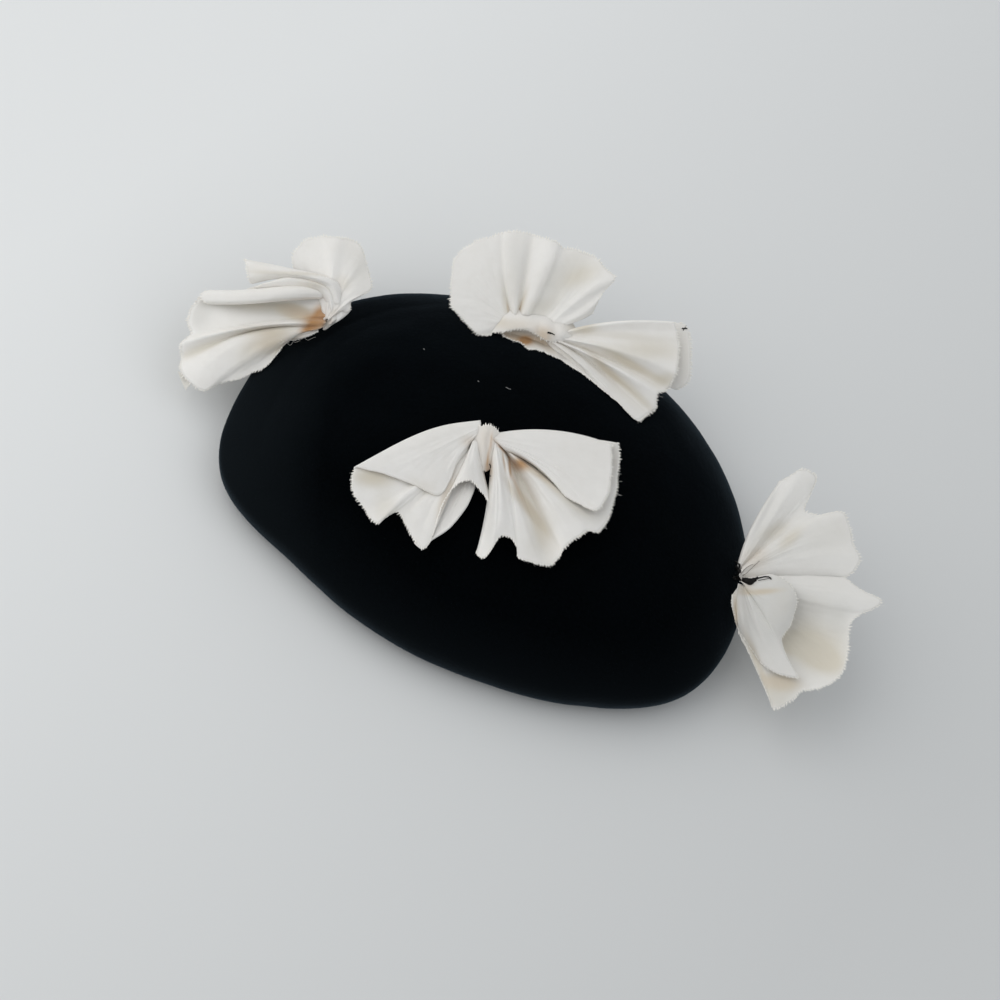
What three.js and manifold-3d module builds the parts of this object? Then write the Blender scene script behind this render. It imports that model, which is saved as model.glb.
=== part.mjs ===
// Tilt hat in moulded black felt with four gathered cloth bows.
// Units are millimetres, +Z is up, the hat rests on the turned-under edge at z = 0.
// The wearer's opening is below, +X runs along the hat's length.
import * as THREE from 'three';
import Module from 'manifold-3d';

// ---------- driving dimensions ----------
const FELT_WALL = 2.6;        // thickness of the felt
const FELT_SEGMENTS = 54;     // round the hat
const FELT_ROW_STEPS = 2;     // mesh rows between two rows of PROFILE
const END_DROP = 10;          // how much lower the shoulder runs at the -X end
const END_DROP_START = 0.30;  // share of the radius where that slope begins
const GIRTH_HEIGHT = 16.5;    // height of the widest line
const CLOTH_WALL = 1.1;       // doubled, hemless cloth of the bows
const CLOTH_GAP = 1.1;        // air between the cloth and the felt
const KNOT_RADIUS = 2.2;      // where the folds start, inside the gather
const RAY_STEPS = 2;          // mesh rays between two rows of a wing
const REACH_STEPS = 5;        // mesh steps from the gather to the raw edge
const SHIFT_X = -7.96;        // moves the part so that its box is centred
const SHIFT_Y = -14.74;

// Outline of the widest line, seen from above.
const PLAN = [
  // deg, radius_mm
  [0, 132], [22.5, 127], [45, 121], [67.5, 117.5],
  [90, 115.5], [112.5, 117], [135, 124], [157.5, 131],
  [180, 131.5], [202.5, 131], [225, 105.5], [247.5, 94.5],
  [270, 91.3], [292.5, 95.5], [315, 110], [337.5, 130.5],
];

// Section from the crown's middle, over the shoulder, to the lip of the opening.
const PROFILE = [
  // share of the plan radius, height_mm
  [0.000, 58.0],
  [0.200, 57.2],
  [0.400, 54.6],
  [0.550, 51.2],
  [0.680, 46.8],
  [0.790, 41.5],
  [0.870, 36.2],
  [0.930, 30.8],
  [0.970, 25.8],
  [0.993, 21.0],
  [1.000, 16.5],
  [0.996, 12.0],
  [0.982, 7.4],
  [0.957, 3.4],
  [0.925, 0.9],
  [0.900, 0.0],
  [0.865, 0.0],
  [0.835, 0.0],
];
const FLAT_ROWS = 2;          // the last rows of PROFILE are the flat that it rests on

// Shallow hand-blocked dents of the crown.
const DENTS = [
  // x_mm, y_mm, radius_mm, depth_mm
  [-78, -2, 26, 1.7],
  [-40, 24, 22, 1.2],
  [62, -28, 30, 1.3],
  [88, 26, 24, 1.1],
];

// Every bow is a fan of folds round a gather. deg turns from +u (the bow's right)
// towards +v, reach_mm is the distance of the raw edge, rise_mm its height over the
// bow's plane, belly_mm the extra height half way out.
const BOWS = [
  {
    name: 'bow_center', at: [-13.5, 3.7, 61.6], normal: [0, -0.12, 0.99], knot: [7.5, 6.0, 3.2],
    wings: [
      [
        // deg, reach_mm, rise_mm, belly_mm
        [162.2, 15.6, 3.0, 1.5], [183.1, 32.8, 5.0, 2.5], [202.4, 66.5, 9.0, 4.0],
        [206.0, 73.7, 4.5, 1.0], [212.7, 75.9, 3.0, 0.5], [221.0, 77.2, 8.0, 3.5],
        [228.5, 65.0, 5.0, 0.5], [238.0, 72.0, 8.5, 3.5], [243.1, 72.8, 7.5, 2.0],
        [248.0, 57.0, 3.0, 0.5], [253.0, 50.5, 9.0, 4.0], [259.0, 43.7, 10.0, 4.5],
      ],
      [
        [-94.5, 62.0, 7.0, 2.5], [-87.8, 56.5, 4.0, 0.5], [-80.6, 66.6, 9.0, 3.0],
        [-67.5, 71.8, 6.0, 1.0], [-56.8, 65.8, 4.0, 0.5], [-45.2, 69.1, 9.0, 3.5],
        [-33.6, 65.2, 11.0, 5.0], [-15.3, 63.0, 5.0, 1.0], [-2.9, 59.6, 9.0, 4.0],
        [3.3, 41.1, 6.0, 2.5], [12.0, 22.0, 4.5, 1.5],
      ],
    ],
  },
  {
    name: 'bow_left', at: [-114.5, 45.5, 31.0], normal: [0, -0.36, 0.93], knot: [6.5, 5.0, 3.0],
    wings: [
      [
        [40.0, 15.0, 2.0, 1.0], [47.0, 28.0, 5.0, 2.0], [62.0, 38.5, 9.0, 3.5],
        [79.7, 44.5, 5.0, 1.0], [104.0, 41.0, 9.0, 3.5], [122.0, 35.5, 3.0, 0.5],
        [136.0, 38.5, 6.0, 2.0], [143.5, 48.0, 10.0, 4.0], [153.0, 43.6, 3.0, 0.5],
        [168.9, 57.5, 8.0, 3.5], [181.6, 60.0, 3.0, 0.5], [197.4, 67.0, 9.0, 3.5],
        [207.5, 71.0, 13.0, 5.0], [213.0, 62.0, 8.0, 2.0], [217.2, 50.5, 12.0, 4.5],
        [221.0, 38.0, 8.0, 2.0], [226.0, 27.0, 9.0, 3.0], [234.0, 16.0, 6.0, 1.5],
      ],
    ],
  },
  {
    name: 'bow_back', at: [-11.8, 78.4, 52.4], normal: [0, -0.45, 0.89], knot: [7.0, 5.5, 3.2],
    wings: [
      [
        [181.0, 28.0, 5.0, 1.5], [175.0, 33.7, 7.0, 2.0], [166.0, 46.0, 9.0, 3.0],
        [155.3, 52.5, 4.0, 0.5], [138.6, 60.5, 8.0, 3.0], [125.0, 60.0, 4.0, 0.5],
        [111.7, 58.0, 10.0, 4.0], [92.3, 53.5, 4.0, 0.5], [73.0, 48.5, 9.0, 3.5],
        [60.9, 49.0, 4.0, 0.5], [47.0, 46.5, 8.0, 3.0], [42.0, 33.0, 4.0, 1.0],
      ],
      [
        [30.0, 28.0, 4.0, 1.5], [14.0, 44.5, 8.0, 3.5], [8.5, 61.5, 3.5, 0.5],
        [-1.0, 68.0, 7.0, 3.0], [-9.4, 71.0, 2.5, 0.5], [-22.0, 62.5, 9.0, 4.0],
        [-29.0, 59.0, 4.0, 0.5], [-40.5, 57.5, 9.0, 4.0], [-44.0, 41.0, 4.5, 1.0],
        [-50.0, 26.0, 6.5, 2.5], [-62.0, 14.0, 4.0, 1.0],
      ],
    ],
  },
  {
    name: 'bow_right', at: [119.5, 10.0, 38.0], normal: [0, -0.30, 0.95], knot: [5.5, 5.0, 2.8],
    wings: [
      [
        [74.0, 12.0, 3.5, 1.0], [68.0, 31.0, 8.0, 3.0], [60.5, 51.5, 3.5, 0.5],
        [50.1, 60.0, 9.0, 4.0], [28.4, 60.5, 4.0, 0.5], [8.0, 59.5, 9.0, 4.0],
        [0.5, 50.5, 3.5, 1.0],
      ],
      [
        [-5.5, 59.3, 6.0, 2.0], [-10.3, 68.9, 9.0, 3.5], [-24.6, 61.2, 3.5, 0.5],
        [-38.8, 65.1, 9.0, 4.0], [-51.1, 69.5, 4.5, 0.5], [-64.1, 66.5, 9.0, 3.5],
        [-77.0, 71.6, 12.0, 4.5], [-81.5, 51.5, 8.0, 2.5], [-88.0, 34.7, 4.5, 0.5],
        [-100.0, 17.5, 6.0, 1.5],
      ],
    ],
  },
];

// ---------- small helpers ----------
const rad = (d) => (d * Math.PI) / 180;
const clamp = (v, a, b) => Math.min(b, Math.max(a, v));

// Catmull-Rom value of column c at fractional row p of a table, open or closed.
function spline(rows, c, p, closed = false) {
  const n = rows.length;
  const i = Math.floor(p);
  const t = p - i;
  const pick = (k) => (closed ? rows[((k % n) + n) % n][c] : rows[clamp(k, 0, n - 1)][c]);
  const a = pick(i - 1), b = pick(i), d = pick(i + 1), e = pick(i + 2);
  return 0.5 * (2 * b + (d - a) * t + (2 * a - 5 * b + 4 * d - e) * t * t + (3 * b - a - 3 * d + e) * t * t * t);
}

function planRadius(deg) {
  const step = 360 / PLAN.length;
  const turn = ((deg % 360) + 360) % 360;
  return spline(PLAN, 1, turn / step, true);
}

// The section as fine rows of [share, height].
const SECTION = [];
for (let i = 0; i < PROFILE.length - 1; i += 1) {
  const flat = i >= PROFILE.length - 1 - FLAT_ROWS;
  const steps = flat ? 1 : FELT_ROW_STEPS;
  for (let k = 0; k < steps; k += 1) {
    const p = i + k / steps;
    SECTION.push(i === 0 && k === 0 ? [0, PROFILE[0][1]] : [spline(PROFILE, 0, p), Math.max(0, spline(PROFILE, 1, p))]);
  }
}
SECTION.push(PROFILE[PROFILE.length - 1].slice());

function lowered(x, y, share, height) {
  const deg = Math.atan2(y, x);
  const lobe = clamp(-Math.cos(deg), 0, 1) ** 2;
  const upper = clamp((height - GIRTH_HEIGHT) / 20, 0, 1);
  let z = height - END_DROP * lobe * clamp((share - END_DROP_START) / 0.5, 0, 1) * upper;
  for (const [dx, dy, r, depth] of DENTS) {
    z -= depth * upper * Math.exp(-((x - dx) ** 2 + (y - dy) ** 2) / (r * r));
  }
  return z;
}

// Height of the felt's upper side over a point, or null outside the hat.
function feltTop(x, y) {
  const share = Math.hypot(x, y) / planRadius((Math.atan2(y, x) * 180) / Math.PI);
  for (let i = 0; i < SECTION.length - 1; i += 1) {
    const [s0, h0] = SECTION[i];
    const [s1, h1] = SECTION[i + 1];
    if (share >= s0 && share <= s1) {
      return lowered(x, y, share, h0 + ((h1 - h0) * (share - s0)) / (s1 - s0 || 1));
    }
    if (h1 < GIRTH_HEIGHT) break;
  }
  return null;
}

function solid(positions, index) {
  const g = new THREE.BufferGeometry();
  g.setAttribute('position', new THREE.Float32BufferAttribute(positions, 3));
  g.setIndex(index);
  let volume = 0;
  for (let i = 0; i < index.length; i += 3) {
    const a = new THREE.Vector3().fromArray(positions, 3 * index[i]);
    const b = new THREE.Vector3().fromArray(positions, 3 * index[i + 1]);
    const c = new THREE.Vector3().fromArray(positions, 3 * index[i + 2]);
    volume += a.dot(b.cross(c)) / 6;
  }
  if (volume < 0) {
    for (let i = 0; i < index.length; i += 3) [index[i + 1], index[i + 2]] = [index[i + 2], index[i + 1]];
    g.setIndex(index);
  }
  g.computeVertexNormals();
  return g;
}

// ---------- the felt body ----------
function feltShell() {
  const n = FELT_SEGMENTS;
  const rows = SECTION.length;
  const outer = (i, j) => {
    const deg = (360 * j) / n;
    const [share, height] = SECTION[i];
    const r = share * planRadius(deg);
    const x = r * Math.cos(rad(deg));
    const y = r * Math.sin(rad(deg));
    return new THREE.Vector3(x, y, height > GIRTH_HEIGHT ? lowered(x, y, share, height) : height);
  };
  const inner = (i, j) => {
    const p = outer(i, j);
    if (i === 0) return new THREE.Vector3(p.x, p.y, p.z - FELT_WALL);
    const along = outer(Math.min(i + 1, rows - 1), j).sub(outer(i - 1, j));
    const round = outer(i, j + 1).sub(outer(i, j - 1));
    const normal = round.cross(along).normalize();
    if (i >= rows - 1 - FLAT_ROWS) normal.set(0, 0, 1);
    else if (normal.dot(new THREE.Vector3(p.x, p.y, p.z - 20)) > 0) normal.negate();
    return p.addScaledVector(normal, FELT_WALL);
  };
  const positions = [];
  const ring = (f, i) => {
    const first = positions.length / 3;
    for (let j = 0; j < n; j += 1) positions.push(...f(i, j).toArray());
    return first;
  };
  positions.push(...outer(0, 0).toArray());
  positions.push(...inner(0, 0).toArray());
  const rings = [];
  for (let i = 1; i < rows; i += 1) rings.push(ring(outer, i));
  for (let i = rows - 1; i >= 1; i -= 1) rings.push(ring(inner, i));
  const index = [];
  for (let k = 0; k < rings.length - 1; k += 1) {
    for (let j = 0; j < n; j += 1) {
      const a = rings[k] + j, b = rings[k] + ((j + 1) % n);
      const c = rings[k + 1] + j, d = rings[k + 1] + ((j + 1) % n);
      index.push(a, c, b, b, c, d);
    }
  }
  for (let j = 0; j < n; j += 1) {
    index.push(0, rings[0] + j, rings[0] + ((j + 1) % n));
    const last = rings[rings.length - 1];
    index.push(1, last + ((j + 1) % n), last + j);
  }
  return solid(positions, index);
}

// ---------- the bows ----------
const RIGHT = new THREE.Vector3(0.8988, 0.3591, 0.2514); // the bows' +u leans along this

function bowFrame(bow) {
  const w = new THREE.Vector3(...bow.normal).normalize();
  const u = RIGHT.clone().addScaledVector(w, -RIGHT.dot(w)).normalize();
  const v = w.clone().cross(u);
  return { at: new THREE.Vector3(...bow.at), u, v, w };
}

function lift(p) {
  const top = feltTop(p.x, p.y);
  if (top !== null && p.z < top + CLOTH_GAP + CLOTH_WALL * 1.3) p.z = top + CLOTH_GAP + CLOTH_WALL * 1.3;
  return p;
}

function wingSolid(frame, wing) {
  const rays = (wing.length - 1) * RAY_STEPS + 1;
  const positions = [];
  const under = [];
  for (let a = 0; a < rays; a += 1) {
    const p = a / RAY_STEPS;
    const i = Math.min(Math.floor(p), wing.length - 2);
    const deg = wing[i][0] + (wing[i + 1][0] - wing[i][0]) * (p - i);
    const reach = spline(wing, 1, p), rise = spline(wing, 2, p), belly = spline(wing, 3, p);
    for (let k = 0; k <= REACH_STEPS; k += 1) {
      const t = k / REACH_STEPS;
      const r = KNOT_RADIUS + (reach - KNOT_RADIUS) * t;
      const h = rise * t ** 0.8 + belly * 4 * t * (1 - t);
      const top = lift(frame.at.clone()
        .addScaledVector(frame.u, r * Math.cos(rad(deg)))
        .addScaledVector(frame.v, r * Math.sin(rad(deg)))
        .addScaledVector(frame.w, h));
      positions.push(...top.toArray());
      under.push(...top.addScaledVector(frame.w, -CLOTH_WALL).toArray());
    }
  }
  const half = positions.length / 3;
  positions.push(...under);
  const index = [];
  const at = (a, k, side) => a * (REACH_STEPS + 1) + k + (side ? half : 0);
  const quad = (a, b, c, d) => index.push(a, b, c, a, c, d);
  for (let a = 0; a < rays - 1; a += 1) {
    for (let k = 0; k < REACH_STEPS; k += 1) {
      quad(at(a, k, 0), at(a, k + 1, 0), at(a + 1, k + 1, 0), at(a + 1, k, 0));
      quad(at(a, k, 1), at(a + 1, k, 1), at(a + 1, k + 1, 1), at(a, k + 1, 1));
    }
    quad(at(a, 0, 0), at(a + 1, 0, 0), at(a + 1, 0, 1), at(a, 0, 1));
    quad(at(a, REACH_STEPS, 0), at(a, REACH_STEPS, 1), at(a + 1, REACH_STEPS, 1), at(a + 1, REACH_STEPS, 0));
  }
  for (let k = 0; k < REACH_STEPS; k += 1) {
    quad(at(0, k, 0), at(0, k, 1), at(0, k + 1, 1), at(0, k + 1, 0));
    quad(at(rays - 1, k, 0), at(rays - 1, k + 1, 0), at(rays - 1, k + 1, 1), at(rays - 1, k, 1));
  }
  return solid(positions, index);
}

function knotSolid(frame, size) {
  const rows = 8, n = 14;
  const positions = [];
  const point = (i, j) => {
    const a = (Math.PI * i) / rows, b = (2 * Math.PI * j) / n;
    return frame.at.clone()
      .addScaledVector(frame.u, size[0] * Math.sin(a) * Math.cos(b))
      .addScaledVector(frame.v, size[1] * Math.sin(a) * Math.sin(b))
      .addScaledVector(frame.w, size[2] * Math.cos(a));
  };
  positions.push(...point(0, 0).toArray(), ...point(rows, 0).toArray());
  for (let i = 1; i < rows; i += 1) for (let j = 0; j < n; j += 1) positions.push(...point(i, j).toArray());
  const at = (i, j) => 2 + (i - 1) * n + (j % n);
  const index = [];
  for (let j = 0; j < n; j += 1) {
    index.push(0, at(1, j), at(1, j + 1));
    index.push(1, at(rows - 1, j + 1), at(rows - 1, j));
    for (let i = 1; i < rows - 1; i += 1) {
      index.push(at(i, j), at(i + 1, j), at(i + 1, j + 1), at(i, j), at(i + 1, j + 1), at(i, j + 1));
    }
  }
  return solid(positions, index);
}

const wasm = await Module();
wasm.setup();

function toManifold(g) {
  const mesh = new wasm.Mesh({
    numProp: 3,
    vertProperties: new Float32Array(g.attributes.position.array),
    triVerts: new Uint32Array(g.index.array),
  });
  return new wasm.Manifold(mesh);
}

function fromManifold(m) {
  const mesh = m.getMesh();
  return solid(Array.from(mesh.vertProperties), Array.from(mesh.triVerts));
}

function bowGeometry(bow) {
  const frame = bowFrame(bow);
  let body = toManifold(knotSolid(frame, bow.knot));
  for (const wing of bow.wings) body = body.add(toManifold(wingSolid(frame, wing)));
  return fromManifold(body);
}

// ---------- assembly ----------
const felt = new THREE.MeshStandardMaterial({ name: 'black_felt', color: 0x0b0b0c, roughness: 0.98, metalness: 0 });
const silk = new THREE.MeshStandardMaterial({ name: 'cream_silk', color: 0xe9e2d3, roughness: 0.7, metalness: 0 });

const group = new THREE.Group();
group.name = 'tilt_hat';

function addMesh(name, geometry, material) {
  const mesh = new THREE.Mesh(geometry, material);
  mesh.name = name;
  mesh.position.set(SHIFT_X, SHIFT_Y, 0);
  group.add(mesh);
}

addMesh('felt_shell', feltShell(), felt);
for (const bow of BOWS) addMesh(bow.name, bowGeometry(bow), silk);

export default group;
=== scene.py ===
import math
import random

import bpy
import numpy as np
from mathutils import Matrix, Vector, noise
from mathutils.bvhtree import BVHTree


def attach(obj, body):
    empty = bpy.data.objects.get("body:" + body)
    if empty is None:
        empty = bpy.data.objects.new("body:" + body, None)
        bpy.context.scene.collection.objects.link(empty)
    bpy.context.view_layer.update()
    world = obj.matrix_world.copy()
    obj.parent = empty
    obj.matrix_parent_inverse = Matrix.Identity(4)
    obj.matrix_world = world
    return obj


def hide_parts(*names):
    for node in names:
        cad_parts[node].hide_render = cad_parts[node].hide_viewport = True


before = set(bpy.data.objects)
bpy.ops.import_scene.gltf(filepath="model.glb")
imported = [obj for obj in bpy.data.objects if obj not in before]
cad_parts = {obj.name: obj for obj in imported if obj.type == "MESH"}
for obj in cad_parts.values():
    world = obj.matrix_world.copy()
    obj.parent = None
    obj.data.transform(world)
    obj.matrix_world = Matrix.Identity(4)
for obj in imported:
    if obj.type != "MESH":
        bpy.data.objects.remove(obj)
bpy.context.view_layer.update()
random.seed(11)
rng = np.random.default_rng(11)
MM = 0.001

# ---------- the hat's own numbers, in millimetres, as in the CAD model ----------
SHIFT = np.array([-7.96, -14.74, 0.0])
FELT_WALL = 2.6
END_DROP = 10.0
END_DROP_START = 0.30
GIRTH_HEIGHT = 16.5
PLAN = [  # deg, radius_mm
    (0, 132), (22.5, 127), (45, 121), (67.5, 117.5), (90, 115.5), (112.5, 117), (135, 124), (157.5, 131),
    (180, 131.5), (202.5, 131), (225, 105.5), (247.5, 94.5), (270, 91.3), (292.5, 95.5), (315, 110), (337.5, 130.5),
]
PROFILE = [  # share of the radius, height_mm
    (0.000, 58.0), (0.200, 57.2), (0.400, 54.6), (0.550, 51.2), (0.680, 46.8), (0.790, 41.5), (0.870, 36.2),
    (0.930, 30.8), (0.970, 25.8), (0.993, 21.0), (1.000, 16.5), (0.996, 12.0), (0.982, 7.4), (0.957, 3.4),
    (0.925, 0.9), (0.900, 0.0), (0.865, 0.0), (0.835, 0.0),
]
DENTS = [  # x_mm, y_mm, radius_mm, depth_mm
    (-78, -2, 26, 1.7), (-40, 24, 22, 1.2), (62, -28, 30, 1.3), (88, 26, 24, 1.1),
]

# ---------- the camera's angle ----------
ELEVATION = math.radians(55.0)
ROLL = math.radians(26.0)
DISTANCE = 1333.0
LOOK_AT = np.array([3.1, 1.55, 20.0]) + SHIFT
TO_CAMERA = np.array([0.0, -math.cos(ELEVATION), math.sin(ELEVATION)])
LEVEL_UP = np.array([0.0, math.sin(ELEVATION), math.cos(ELEVATION)])
ACROSS = math.cos(ROLL) * np.array([1.0, 0, 0]) + math.sin(ROLL) * LEVEL_UP
UPWARD = -math.sin(ROLL) * np.array([1.0, 0, 0]) + math.cos(ROLL) * LEVEL_UP

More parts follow.
